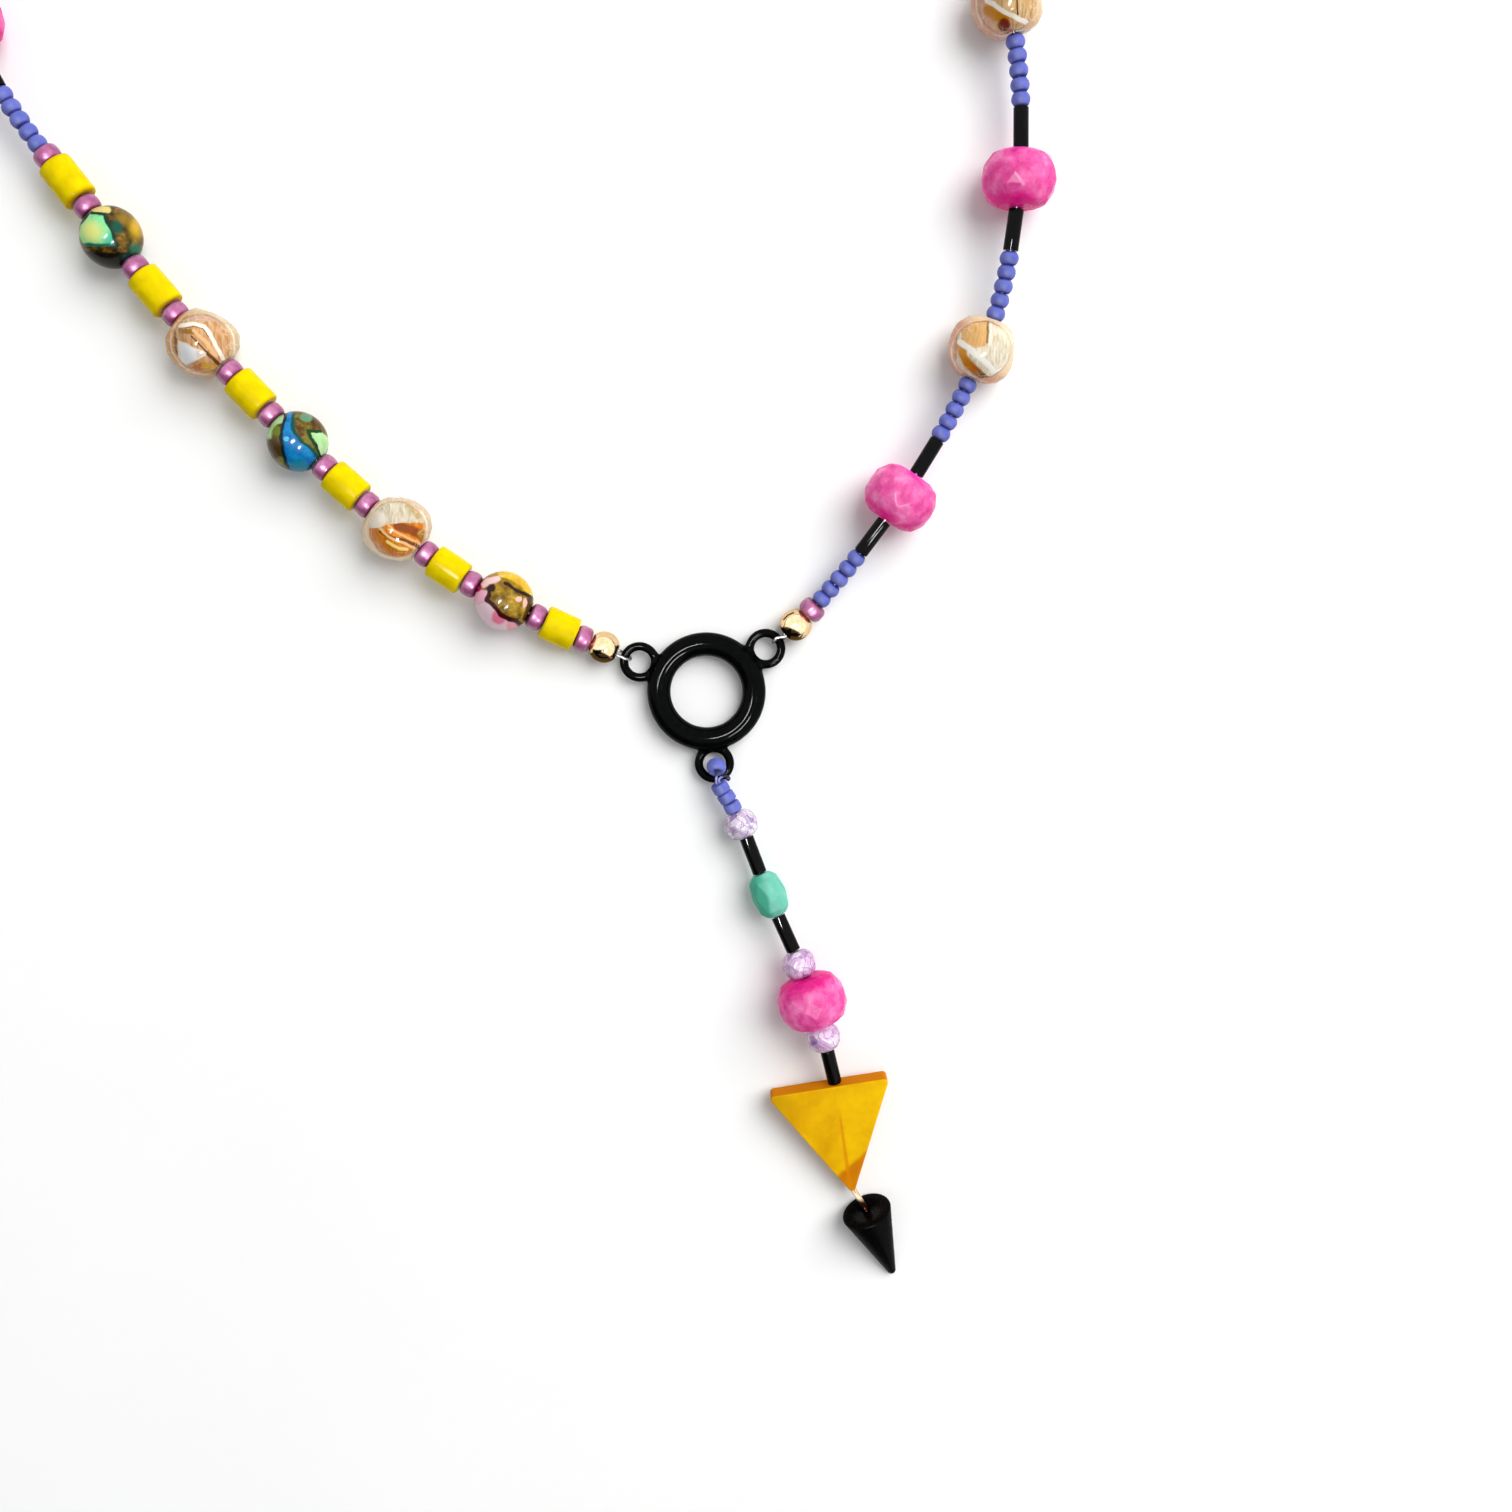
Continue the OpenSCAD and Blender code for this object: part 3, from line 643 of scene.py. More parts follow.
def lilac_glass(name, stops, crackle):
    """Cut glass: patches of several tones with thin lines between them, white where it is crackled."""
    finish = Finish(name, transmission_weight=0.15, ior=1.5, coat_weight=0.35, coat_roughness=0.03)
    place = finish.own_place()
    jagged = finish.shifted(place, 0.5, 1.6)
    tones = finish.parts(finish.cells(jagged, 0.95, output=1))[0]
    flecks = finish.noise(place, 0.9, 3, 0.6)
    colour = finish.ramp(0.55 * tones + 0.45 * flecks, stops)
    lines = finish.between(finish.cells(jagged, 0.95, "DISTANCE_TO_EDGE"), 0.07, 0.02)
    colour = finish.mix(lines * (0.25 + 0.35 * crackle), colour, "#FFFFFF")
    deep = finish.cells(finish.shifted(place, 0.6, 1.1), 0.7, "DISTANCE_TO_EDGE")
    colour = finish.mix(finish.between(deep, 0.04, 0.01) * 0.75, colour, "#8A5CA4")
    return finish.dress(colour, 0.1 + 0.15 * flecks, finish.bump(tones, 0.25, 0.12))


def mint_satin():
    """Soft green, deeper on the side away from the light."""
    finish = Finish("mint_satin", specular_ior_level=0.07,
                    subsurface_weight=0.2, subsurface_radius=(0.4, 0.9, 0.7), subsurface_scale=0.5 * MM)
    place = finish.attribute("bead_place")
    cloud = finish.noise(place, 0.6, 3)
    colour = finish.ramp(cloud, [(0.3, "#62B29C"), (0.6, "#74C2AE"), (0.85, "#8ACCBA")])
    x, y, _ = finish.parts(finish.attribute("bead_offset"))
    shade = finish.between(x * 0.95 + y * 0.3, 0.2, -0.7)
    colour = finish.mix(shade * 0.9, colour, "#46AC8E")
    return finish.dress(colour, 0.3 + 0.15 * cloud, finish.bump(cloud, 0.15, 0.1))


def amber_resin():
    """Cloudy amber with brown sides, a burnt tip and the drilled hole showing through."""
    finish = Finish("amber_resin", specular_ior_level=0.01, subsurface_weight=0.15,
                    subsurface_radius=(1.0, 0.6, 0.1), subsurface_scale=0.6 * MM)
    place = finish.attribute("bead_place")
    x, y, z = finish.parts(place)
    cloud = finish.noise(finish.shifted(place, 1.5, 0.3), 0.22, 4, 0.6)
    colour = finish.ramp(cloud, [(0.3, "#D69C00"), (0.5, "#E6B000"), (0.7, "#F2C200")])
    colour = finish.mix(finish.between(x, -4.5, -9) * 0.9, colour, "#C09200")
    tip = finish.between(y - 0.675 * x + 0.8 * cloud, -10.6, -11.5)
    colour = finish.mix(tip * 0.9, colour, finish.ramp(cloud, [(0.35, "#B85A00"), (0.6, "#CC7600")]))
    width = 0.06 - 0.014 * y
    drill = finish.between(abs(x - 0.02 * y), width + 0.12, width - 0.08)
    drill = drill * finish.between(y, -3.2, -5.2)
    colour = finish.mix(drill * 0.7, colour, "#D88400")
    sides = finish.between(z, 0.5 * TRIANGLE_T - 0.04, 0.5 * TRIANGLE_T - 0.22)
    colour = finish.mix(sides, colour, "#C87604")
    return finish.dress(colour, 0.3 + 0.2 * cloud, finish.bump(cloud, 0.2, 0.25))


def black_satin():
    finish = Finish("black_satin", specular_ior_level=0.025)
    place = finish.attribute("bead_place")
    grain = finish.noise(place, 4, 3)
    colour = finish.ramp(grain, [(0.3, "#030303"), (0.7, "#070708")])
    return finish.dress(colour, 0.2 + 0.15 * grain, finish.bump(grain, 0.12, 0.05))


# Stones and glass with their figures, laid out as seen from the camera: x to the right, y upwards. The
# stones' figures are their own but for some painted highlight and shade; the glass's are partly painted
# light.

def mosaic_base(name, ground):
    """Polished stone, measured in parts of its radius, with edges that wander a little."""
    finish = Finish(name, specular_ior_level=0.06, coat_weight=0.25, coat_roughness=0.03, roughness=0.25)
    place = finish.vector_maths("MULTIPLY", finish.attribute("bead_offset"), (2 / MOSAIC_D,) * 3)
    cloud = finish.noise(place, 2.6, 4, 0.6)
    return finish, finish.shifted(place, 0.16, 2.4), cloud, finish.ramp(cloud, ground)


def mosaic_pink():
    finish, place, cloud, colour = mosaic_base("mosaic_pink", [
        (0.3, "#3E2C04"), (0.43, "#7A5C0C"), (0.56, "#A4821C"), (0.7, "#CCAA54")])
    gold = finish.ramp(cloud, [(0.3, "#C89A18"), (0.55, "#E0B820"), (0.75, "#F2E0A0")])
    pink = finish.paint("#E8C8D4", place, [
        ("blob", ((-0.85, 0.2), 0.28), "#F0B0C8"),
        ("blob", ((-0.16, -0.55), 0.24), "#E87898"),
        ("blob", ((0.3, -0.88), 0.22), "#F0A0B0"),
    ])
    border = [(-0.49, 0.33), (-0.49, 0.18), (-0.57, 0.02), (-0.34, -0.15), (-0.12, -0.42), (0.15, -0.6),
              (0.42, -0.71), (0.53, -0.78)]
    return finish.dress(finish.paint(colour, place, [
        ("stroke", ([(0.0, 0.95), (0.45, 0.8), (0.74, 0.56), (0.92, 0.26)], 0.22), gold),
        ("stroke", ([(0.06, 0.58), (0.42, 0.35), (0.97, 0.09)], 0.09), "#2A1404"),
        # Partly the stone's dark brown and partly painted shade: the dark stroke down the right edge.
        ("stroke", ([(0.86, 0.0), (0.84, -0.3), (0.7, -0.6)], 0.12), "#4A3004"),
        ("facet", ([(-1.1, 0.35), (-1.1, -0.2), (-0.57, 0.02), (-0.49, 0.18), (-0.49, 0.33)],), pink),
        ("facet", ([(-1.1, -0.2), (-1.1, -1.1), (0.2, -1.1), (0.15, -0.6), (-0.34, -0.15),
                    (-0.57, 0.02)],), pink),
        ("facet", ([(0.2, -1.1), (0.75, -1.1), (0.53, -0.78), (0.42, -0.71), (0.15, -0.6)],), pink),
        ("stroke", (border, 0.1), "#3A0A08"),
        ("blob", ((-0.41, 0.46), 0.16), "#2A1006"),
        ("stroke", ([(-0.68, 0.52), (-0.5, 0.68), (-0.2, 0.74)], 0.15), "#F4C8C8"),
        ("blob", ((-0.84, 0.42), 0.13), "#B0004C"),
        ("blob", ((0.49, 0.05), 0.1), "#F0B8A8"),
        ("blob", ((0.69, -0.09), 0.12, (1.6, 0.75)), "#F0B8A8"),
    ]))


def mosaic_blue():
    finish, place, cloud, colour = mosaic_base("mosaic_blue", [
        (0.3, "#3A2808"), (0.45, "#5A3808"), (0.58, "#7A7028"), (0.75, "#6A7A10")])
    green = finish.ramp(cloud, [(0.3, "#A0CC70"), (0.5, "#A8D8A0"), (0.7, "#C8D8A0")])
    blue = finish.ramp(cloud, [(0.3, "#0058A8"), (0.5, "#0A78B8"), (0.7, "#1898D0")])
    blue = finish.paint(blue, place, [
        ("blob", ((0.0, -0.85), 0.28), "#0880A0"),
        # Painted highlight: a small pale blue glint left of the middle.
        ("blob", ((-0.36, 0.09), 0.09), "#60D0FF"),
    ])
    left = [(-0.32, 0.95), (-0.5, 0.37), (-0.53, 0.12), (-0.51, -0.23), (-0.43, -0.57), (-0.34, -0.95)]
    right = [(-0.08, 0.95), (-0.13, 0.56), (-0.08, 0.26), (0.13, -0.02), (0.39, -0.19), (0.62, -0.55),
             (0.39, -0.78), (0.3, -0.95)]
    return finish.dress(finish.paint(colour, place, [
        ("blob", ((-0.8, -0.25), 0.3), "#4A340A"),
        ("blob", ((-0.66, 0.34), 0.17), "#6A7A10"),
        ("stroke", ([(-0.95, 0.2), (-0.87, 0.5), (-0.68, 0.7), (-0.42, 0.75)], 0.17), green),
        ("blob", ((0.3, 0.78), 0.16, (0.8, 1.2)), "#5A8A68"),
        ("facet", ([(0.34, 0.33), (0.41, 0.16), (0.7, -0.47), (0.83, -0.54), (1.05, -0.14), (1.05, 0.12),
                    (0.74, 0.31)],), green),
        ("stroke", ([(0.74, 0.33), (0.34, 0.35), (0.41, 0.14), (0.57, -0.14), (0.7, -0.49),
                     (0.86, -0.58)], 0.075), "#0A3A18"),
        ("facet", ([(-0.32, 0.95), (-0.5, 0.37), (-0.53, 0.12), (-0.08, 0.26), (-0.08, 0.95)],), blue),
        ("facet", ([(-0.53, 0.12), (-0.51, -0.23), (-0.34, -1), (0.3, -1), (0.62, -0.57), (0.39, -0.19),
                    (0.13, -0.02)],), blue),
        ("facet", ([(-0.53, 0.12), (0.13, -0.02), (-0.08, 0.26)],), blue),
        ("stroke", (left, 0.07), "#04202A"),
        ("stroke", (right, 0.07), "#004A40"),
    ]))


def mosaic_green():
    finish, place, cloud, colour = mosaic_base("mosaic_green", [
        (0.34, "#100A04"), (0.46, "#33260A"), (0.56, "#6A4E12"), (0.7, "#A07C22")])
    leaf = finish.paint(finish.ramp(cloud, [(0.35, "#68CC90"), (0.6, "#88DC98")]), place, [
        ("blob", ((-0.58, 0.18), 0.32, (1, 1), 0.7), "#D8E080"),
        ("blob", ((0.0, -0.08), 0.22, (1, 1), 0.6), "#40B890"),
        ("stroke", ([(-0.85, -0.27), (-0.33, -0.29), (0.14, -0.24)], 0.13), "#0A6A58"),
    ])
    return finish.dress(finish.paint(colour, place, [
        ("facet", ([(-1.1, -0.42), (-1.1, -1.1), (1.1, -1.1), (1.1, -0.5)],), "#141006"),
        ("blob", ((0.7, -0.4), 0.2, (1, 1), 0.7), "#1E6A50"),
        ("blob", ((0.4, -0.62), 0.16, (1, 1.4), 0.7), "#0E3E34"),
        ("blob", ((0.78, 0.3), 0.26, (1.3, 0.8), 0.9), "#C8A020"),
        ("blob", ((0.42, 0.6), 0.2, (1, 1), 0.9), "#8A6A1A"),
        ("stroke", ([(-0.5, 0.88), (-0.02, 0.86)], 0.14), "#D8C878"),
        ("facet", ([(-0.99, 0.05), (-0.83, -0.27), (-0.33, -0.28), (0.14, -0.23), (0.09, -0.02),
                    (-0.03, 0.38), (-0.13, 0.7), (-0.58, 0.8), (-0.89, 0.45)],), leaf),
        ("stroke", ([(0.15, -0.25), (0.09, -0.02), (-0.03, 0.38), (-0.13, 0.7), (-0.58, 0.8),
                     (-0.89, 0.45)], 0.07), "#04301C"),
        ("blob", ((0.21, 0.3), 0.17, (1, 0.8), 0.5), "#0A4A3A"),
    ]))


def champagne_base(name, stops):
    """Twisted clear glass over a pale ground with fine lines, measured in millimetres; the figures painted
    over it are partly the glass's own colours and partly painted light seen through and reflected in it.
    """
    finish = Finish(name, transmission_weight=0.1, ior=1.45, coat_weight=0.18, coat_roughness=0.03,
                    roughness=0.06, specular_ior_level=0.2, specular_tint=(1, 0.86, 0.74, 1))
    place = finish.attribute("bead_offset")
    moved = finish.shifted(place, 0.35, 0.8)
    lines = finish.noise(finish.vector_maths("MULTIPLY", moved, (2.6, 0.4, 1)), 1.4, 3)
    return finish, moved, lines, finish.ramp(lines, stops)


def rimmed(finish, place, lines, colour, left, right):
    """Thin bands along the bead's edge, partly the glass's lustre and partly painted reflection of the
    surroundings: copper, a light one that differs from side to side, and cream; and painted sparkles near the
    edge.
    """
    x, y, _ = finish.parts(place)
    flat = finish.vector_maths("LENGTH", finish.vector_maths("MULTIPLY", place, (1, 1, 0)), output=1)
    flat = flat + 0.12 * lines + 0.19
    band = finish.mix(finish.between(x + 0.6 * y, -1.2, 1.6), left, right)
    # Painted reflection: a light band round the edge, its colour changing from the left side to the right.
    colour = finish.mix(finish.between(flat, 3.52, 3.72), colour, band)
    patchy = finish.between(finish.noise(place, 0.4, 2), 0.42, 0.6)
    copper = finish.between(abs(flat - 3.62), 0.15, 0.03) * patchy
    cream = finish.between(abs(flat - 3.95), 0.15, 0.03) * (1.0 - patchy)
    colour = finish.mix(copper * 0.6, colour, "#A06A38")
    colour = finish.mix(cream * 0.7, colour, "#FFF2DE")
    # Painted sparkles: thin light lines near the edge, standing in for light bent through the glass.
    sparkle_cells = finish.cells(finish.shifted(place, 0.8, 0.9), 0.7, "DISTANCE_TO_EDGE")
    painted_sparkles = finish.between(sparkle_cells, 0.045, 0.01) * finish.between(flat, 2.6, 3.2)
    colour = finish.mix(painted_sparkles * 0.3, colour, "#FFF4E4")
    return finish.dress(colour, normal=finish.bump(lines, 0.12, 0.12))


def champagne_amber():
    """Pale upper half, amber lower half, with the drilled hole as two light lines."""
    finish, place, lines, colour = champagne_base("champagne_amber", [
        (0.35, "#B8AA8C"), (0.5, "#CABEA4"), (0.7, "#DED4BE")])
    amber = finish.paint(finish.ramp(lines, [(0.3, "#C06A0C"), (0.5, "#D67C14"), (0.7, "#E89018")]), place, [
        ("stroke", ([(0.2, 0.4), (1.6, 0), (3.2, -0.8)], 0.8), "#8A4000"),
        ("stroke", ([(-1.9, -0.3), (-0.6, -1), (1, -1.35), (2.8, -2.2)], 0.3), "#7A4204"),
        ("blob", ((3.2, -0.6), 0.7), "#A87820"),
    ])
    return rimmed(finish, place, lines, finish.paint(colour, place, [
        ("blob", ((-2.4, 1.2), 1.2), "#F5E8D8", 0.8),
        ("stroke", ([(1.5, 3.1), (2.6, 1.7)], 0.5), "#BC9C60", 0.8),
        ("facet", ([(-2.1, 0.15), (-2.1, -4.5), (4.5, -4.5), (4.5, 0.75), (0.6, 0.85), (-1, 0.6)],), amber),
        ("facet", ([(-4.5, 0.2), (-4.5, -4.5), (-2, -4.5), (-2, 0.17)],), amber),
        ("stroke", ([(-1.04, 0.58), (-0.19, -0.21), (1.02, -0.88), (3.02, -1.85)], 0.2), "#F0B070"),
        ("stroke", ([(-2, 0.09), (-1.04, -0.82), (-0.19, -1.36), (1.02, -1.73), (2.36, -2.45)], 0.22),
         "#F4C488"),
        # Painted highlight: a yellow glint along the lower part.
        ("stroke", ([(-1.2, -1.5), (-0.5, -2), (0.1, -2.3), (1.2, -2.4)], 0.26), "#FFE088"),
    ]), "#F4D8B2", "#CFB494")


def champagne_window():
    """A white window bounded by orange bands, a light curved band and tan facets; the white window and the
    light curved band are painted light seen through the glass.
    """
    finish, place, lines, colour = champagne_base("champagne_window", [
        (0.35, "#B98454"), (0.5, "#CC9C6A"), (0.7, "#DCB68C")])
    window = finish.paint("#F4F6FA", place, [("blob", ((0.0, -1.2), 0.9), "#E8D8CC")])
    base = finish.ramp(lines, [(0.35, "#C05A08"), (0.65, "#D07818")])
    return rimmed(finish, place, lines, finish.paint(colour, place, [
        ("facet", ([(-4.5, 4.5), (-4.5, 2.6), (4.5, 2.6), (4.5, 4.5)],), "#C8A088"),
        ("stroke", ([(-3.6, 2.2), (-3.65, -2.6)], 0.42), "#B87018"),
        ("stroke", ([(-3.1, 1.9), (-3.15, -2.6)], 0.2), "#8A4810"),
        ("stroke", ([(-3, -3.45), (-1.3, -3.1), (0, -2.75)], 0.55), base),
        ("stroke", ([(0, -2.75), (1.3, -2.9)], 0.55), "#D8A030"),
        ("facet", ([(-2.85, 0.45), (-3.05, -3.1), (0.75, -1.25)],), "#F4E2C8"),
        ("facet", ([(-2.6, 0.1), (-2.8, -2.8), (0.3, -1.25)],), window),
        ("stroke", ([(-2.4, 1.45), (-1, 1.35)], 0.42), "#9A6A18"),
        ("stroke", ([(-0.9, 1.5), (0.5, 0.1), (1.3, -1.4)], 0.3), "#F0B880"),
        ("stroke", ([(-2.5, 2.1), (-0.9, 2.3), (0.35, 1.96), (1, 1), (1.5, -0.3), (2.2, -1.8)], 0.32),
         "#FBF2E2"),
        ("stroke", ([(-2.4, 1.78), (-0.9, 1.98), (0.15, 1.68), (0.75, 0.85)], 0.07), "#8A5A20"),
        ("stroke", ([(-1.2, 0.8), (0.55, -1.1)], 0.13), "#6A3A08"),
        ("stroke", ([(0.55, -1.26), (2, -2.75)], 0.3), "#6A3A08"),
        ("stroke", ([(-3.1, 2.8), (-1.8, 3.4), (-0.4, 3.9)], 0.12), "#F4E6CC"),
    ]), "#D89C58", "#CDB48C")


def champagne_cream():
    """An orange patch by the drilled hole, a cream right half, and a white band over an amber stripe; the
    white band and the white lines by it are painted light seen through the glass.
    """
    finish, place, lines, colour = champagne_base("champagne_cream", [
        (0.35, "#D2C2A0"), (0.5, "#E8DCC4"), (0.7, "#F6EEDC")])
    x = finish.parts(place)[0]
    stripe = finish.ramp(finish.between(x, -2.4, 1), [
        (0, "#D08818"), (0.4, "#C06A08"), (0.7, "#8A5008"), (1, "#5A2A00")])
    return rimmed(finish, place, lines, finish.paint(colour, place, [
        ("stroke", ([(-3.25, 2), (-3.3, -1)], 0.4), "#C88860"),
        ("facet", ([(-2.5, 3.1), (-2.6, 0.9), (-0.9, 0.2), (0.5, 0.5), (0.5, 3.3)],),
         finish.ramp(lines, [(0.35, "#E0A860"), (0.65, "#F0C080")])),
        ("stroke", ([(-2.5, 2.7), (-1.2, 3.35), (0.4, 3.4)], 0.22), "#C08840"),
        ("stroke", ([(0.6, 3.8), (0.6, 0.9)], 0.16), "#8A7030"),
        ("stroke", ([(0.95, 3.7), (0.95, 0.6)], 0.14), "#FAF2E2"),
        ("stroke", ([(2.2, 3.2), (2.9, 2.6), (3.2, 1.9)], 0.22), "#A88850"),
        ("stroke", ([(-2.6, 0.2), (-1.7, -1.6), (-0.6, -2.6), (1, -3.9)], 0.65), stripe),
        ("stroke", ([(-2.7, 0.9), (-1.2, -0.1), (0.35, -1.3), (1.3, -2.3), (1.65, -2.8)], 0.46), "#FDFAF2"),
        ("stroke", ([(1.65, -2.8), (2.8, -2), (3.4, -0.7)], 0.16), "#FFFFFF"),
        ("stroke", ([(1.9, -3.4), (3, -2.4)], 0.3), "#E0A070"),
    ]), "#E2A684", "#E8CCA4")


def champagne_tan():
    """Tan facets over a white band, with an amber patch below it and pink lobes to the lower left; the white
    band is painted light seen through the glass.
    """
    finish, place, lines, colour = champagne_base("champagne_tan", [
        (0.35, "#B88A50"), (0.5, "#D0A870"), (0.7, "#E2C498")])
    return rimmed(finish, place, lines, finish.paint(colour, place, [
        ("facet", ([(-4.5, 0.4), (-4.5, -4.5), (-1, -4.5), (-2.2, 0.2)],), "#D8A890"),
        ("stroke", ([(-2.2, -0.8), (-1, -1.4), (-0.2, -1.7)], 0.8), "#C88010"),
        ("blob", ((-0.3, -2.4), 0.7), "#7A2A10"),
        ("blob", ((0.6, -3.4), 0.6), "#C07860"),
        ("stroke", ([(-2.5, 0.3), (-0.3, -1), (2.3, -2.1), (3.3, -2.85)], 0.36), "#FBF4E8"),
        ("stroke", ([(1, 0.6), (1.26, -1.2)], 0.13), "#5A3408"),
    ]), "#D8A890", "#DDB98C")


def link_gold():
    """Gold that shines by the triangle's tip and is dark where it lies on the cone."""
    finish = Finish("link_gold", metallic=1.0)
    place = finish.node("ShaderNodeTexCoord", output="Object")
    y = finish.parts(place)[1]
    tip = (RING_CENTRE + TRIANGLE_TIP) * MM
    colour = finish.ramp(finish.noise(place, 900, 2), [(0.3, "#F0C090"), (0.7, "#FFE8CC")])
    colour = finish.mix(finish.between(y - tip.y, -0.5 * MM, -1.1 * MM), colour, "#1C0C06")
    return finish.dress(colour, 0.12 + 0.1 * finish.noise(place, 500, 2))


TABLE_SHINE = "#F0ECE8"


def table_top():
    """Matt white; shiny beads see it a little darker, as a table's edge falls off in a room."""
    finish = Finish("table_top", specular_ior_level=0.0, roughness=0.9)
    place = finish.node("ShaderNodeTexCoord", output="Object")
    colour = finish.ramp(finish.noise(place, 20, 2), [(0.3, "#F8F8F8"), (0.7, "#FAFAFA")])
    glossy = finish.node("ShaderNodeLightPath", output="Is Glossy Ray")
    return finish.dress(finish.mix(glossy, colour, TABLE_SHINE))


# Meshes built from rings of points

def circle_points(radius, height, sides, turn=0.0):
    angles = turn + 2 * math.pi * np.arange(sides) / sides
    return np.stack([radius * np.cos(angles), radius * np.sin(angles), np.full(sides, height)], 1)


def skin(rings, closed=True):
    """Quads over rings of points; a closed one joins its last ring to its first, an open one is capped."""
    sides = len(rings[0])
    bands = len(rings) if closed else len(rings) - 1
    faces = [
        (i * sides + k, i * sides + (k + 1) % sides,
         (i + 1) % len(rings) * sides + (k + 1) % sides, (i + 1) % len(rings) * sides + k)
        for i in range(bands) for k in range(sides)
    ]
    if not closed:
        last = (len(rings) - 1) * sides
        faces += [tuple(reversed(range(sides))), tuple(range(last, last + sides))]
    return np.concatenate(rings), faces


def lathe(profile, sides=48):
    """A shape turned round the wire, from a profile of radius and height that runs upwards outside."""
    return skin([circle_points(radius, height, sides) for radius, height in profile])


def arc(centre, radius, start, end, steps):
    """Points of a profile along an arc, from angle to angle in degrees."""
    turns = [math.radians(start + (end - start) * i / steps) for i in range(steps + 1)]
    return [(centre[0] + radius * math.cos(t), centre[1] + radius * math.sin(t)) for t in turns]


def ground_ball(diameter, length):
    """A drilled ball whose ends are ground flat."""
    edge = math.degrees(math.asin(length / diameter))
    profile = arc((0, 0), diameter / 2, -edge, edge, 28)
    return lathe(profile + [(BORE_D / 2, length / 2), (BORE_D / 2, -length / 2)])


def barrel(diameter, length, corner, steps=8):
    """A drilled cylinder with rounded edges."""
    radius, half = diameter / 2, length / 2
    profile = arc((radius - corner, corner - half), corner, -90, 0, steps)
    profile += arc((radius - corner, half - corner), corner, 0, 90, steps)
    return lathe(profile + [(BORE_D / 2, half), (BORE_D / 2, -half)])


# Rows of a cut bead or a nugget, as shares of its half length and of its radius
RONDELLE_ROWS = [(-1, 0.52), (-0.84, 0.78), (-0.42, 0.96), (0, 1), (0.42, 0.96), (0.84, 0.78), (1, 0.52)]
LILAC_ROWS = [(-1, 0.55), (-0.8, 0.8), (-0.4, 0.96), (0, 1), (0.4, 0.96), (0.8, 0.8), (1, 0.55)]
MINT_ROWS = [(-1, 0.52), (-0.72, 0.88), (0, 1), (0.72, 0.88), (1, 0.52)]
NUGGET_ROWS = [
    (-1, 0.45), (-0.86, 0.7), (-0.55, 0.92), (-0.2, 1), (0.2, 1), (0.55, 0.92), (0.86, 0.7), (1, 0.45),
]

# A cut bead's bore has few sides, so its corners stand a little wider
CUT_BORE_MARGIN = 0.04

# A nugget's three flattened sides: how deep, their twist and lie in degrees, and each one's own turn
NUGGET_LOBE = 0.09
NUGGET_TWIST = 34
NUGGET_DOWN = 60
NUGGET_WOBBLE = [0, 9, -8, 5]


def cut_bead(rows, diameter, length, sides):
    """A faceted bead: rows of corners, every other row turned half a facet, drilled through."""
    step = math.pi / sides
    rings = [
        circle_points(share * diameter / 2, height * length / 2, sides, step * (i % 2))
        for i, (height, share) in enumerate(rows)
    ]
    turn = step * ((len(rows) - 1) % 2)
    rings += [circle_points(BORE_D / 2 + CUT_BORE_MARGIN, end * length / 2, sides, turn) for end in (1, -1)]
    faces = []
    for i in range(len(rings)):
        low, high = i * sides, (i + 1) % len(rings) * sides
        for k in range(sides):
            ahead = (k + 1) % sides
            if i >= len(rows) - 1:
                faces.append((low + k, low + ahead, high + ahead, high + k))
            elif i % 2 == 0:
                faces += [(low + k, low + ahead, high + k), (low + ahead, high + ahead, high + k)]
            else:
                faces += [(low + k, high + ahead, high + k), (low + k, low + ahead, high + ahead)]
    return np.concatenate(rings), faces


def nugget(spin, sides=60, rows=30):
    """A pressed nugget: three flattened sides that twist from end to end."""
    heights, shares = zip(*NUGGET_ROWS)
    angles = 2 * math.pi * np.arange(sides) / sides
    rings = []
    for height in -np.cos(np.linspace(0.0, math.pi, rows)):
        share = np.interp(height, heights, shares)
        lobes = 1 + NUGGET_LOBE * np.cos(3 * (angles - math.radians(spin + NUGGET_TWIST * height)))
        radius = share * lobes * NUGGET_D / 2
        rings.append(circle_points(radius, height * NUGGET_LEN / 2, sides))
    rings += [circle_points(BORE_D / 2, end * NUGGET_LEN / 2, sides) for end in (1, -1)]
    return skin(rings)


def facing(middle):
    """A frame that faces the camera from a point: its rows are x to the right, y upwards and z nearer."""
    z = (RING_CENTRE + CAMERA_FROM_RING - middle).normalized()
    x = square_to(z, Vector((1, 0, 0)))
    return np.array((x, z.cross(x), z))


def add_mesh(name, points, faces=(), edges=()):
    mesh = bpy.data.meshes.new(name)
    mesh.from_pydata(list(points), list(edges), list(faces))
    return add_object(name, mesh)


def store(mesh, name, values):
    mesh.attributes.new(name, "FLOAT_VECTOR", "POINT").data.foreach_set(
        "vector", np.asarray(values, np.float32).ravel())


def points_of(mesh):
    points = np.empty(len(mesh.vertices) * 3)
    mesh.vertices.foreach_get("co", points)
    return points.reshape(-1, 3)


def make_piece(name, points, faces, matrix, material, number=0.0):
    """A mesh object in place, whose points keep their place in the bead and as seen from the camera."""
    points = np.asarray(points, float)
    placed = points @ np.array(matrix.to_3x3()).T + np.array(matrix.translation)
    piece = add_mesh(name, (placed * MM).tolist(), faces)
    mesh = piece.data
    mesh.validate()
    store(mesh, "bead_place", points)
    store(mesh, "bead_offset", (placed - np.array(matrix.translation)) @ facing(matrix.translation).T)
    mesh.attributes.new("bead_number", "FLOAT", "POINT").data.foreach_set("value", [number] * len(points))
    mesh.polygons.foreach_set("use_smooth", [True] * len(mesh.polygons))
    mesh.materials.append(material)
    return piece


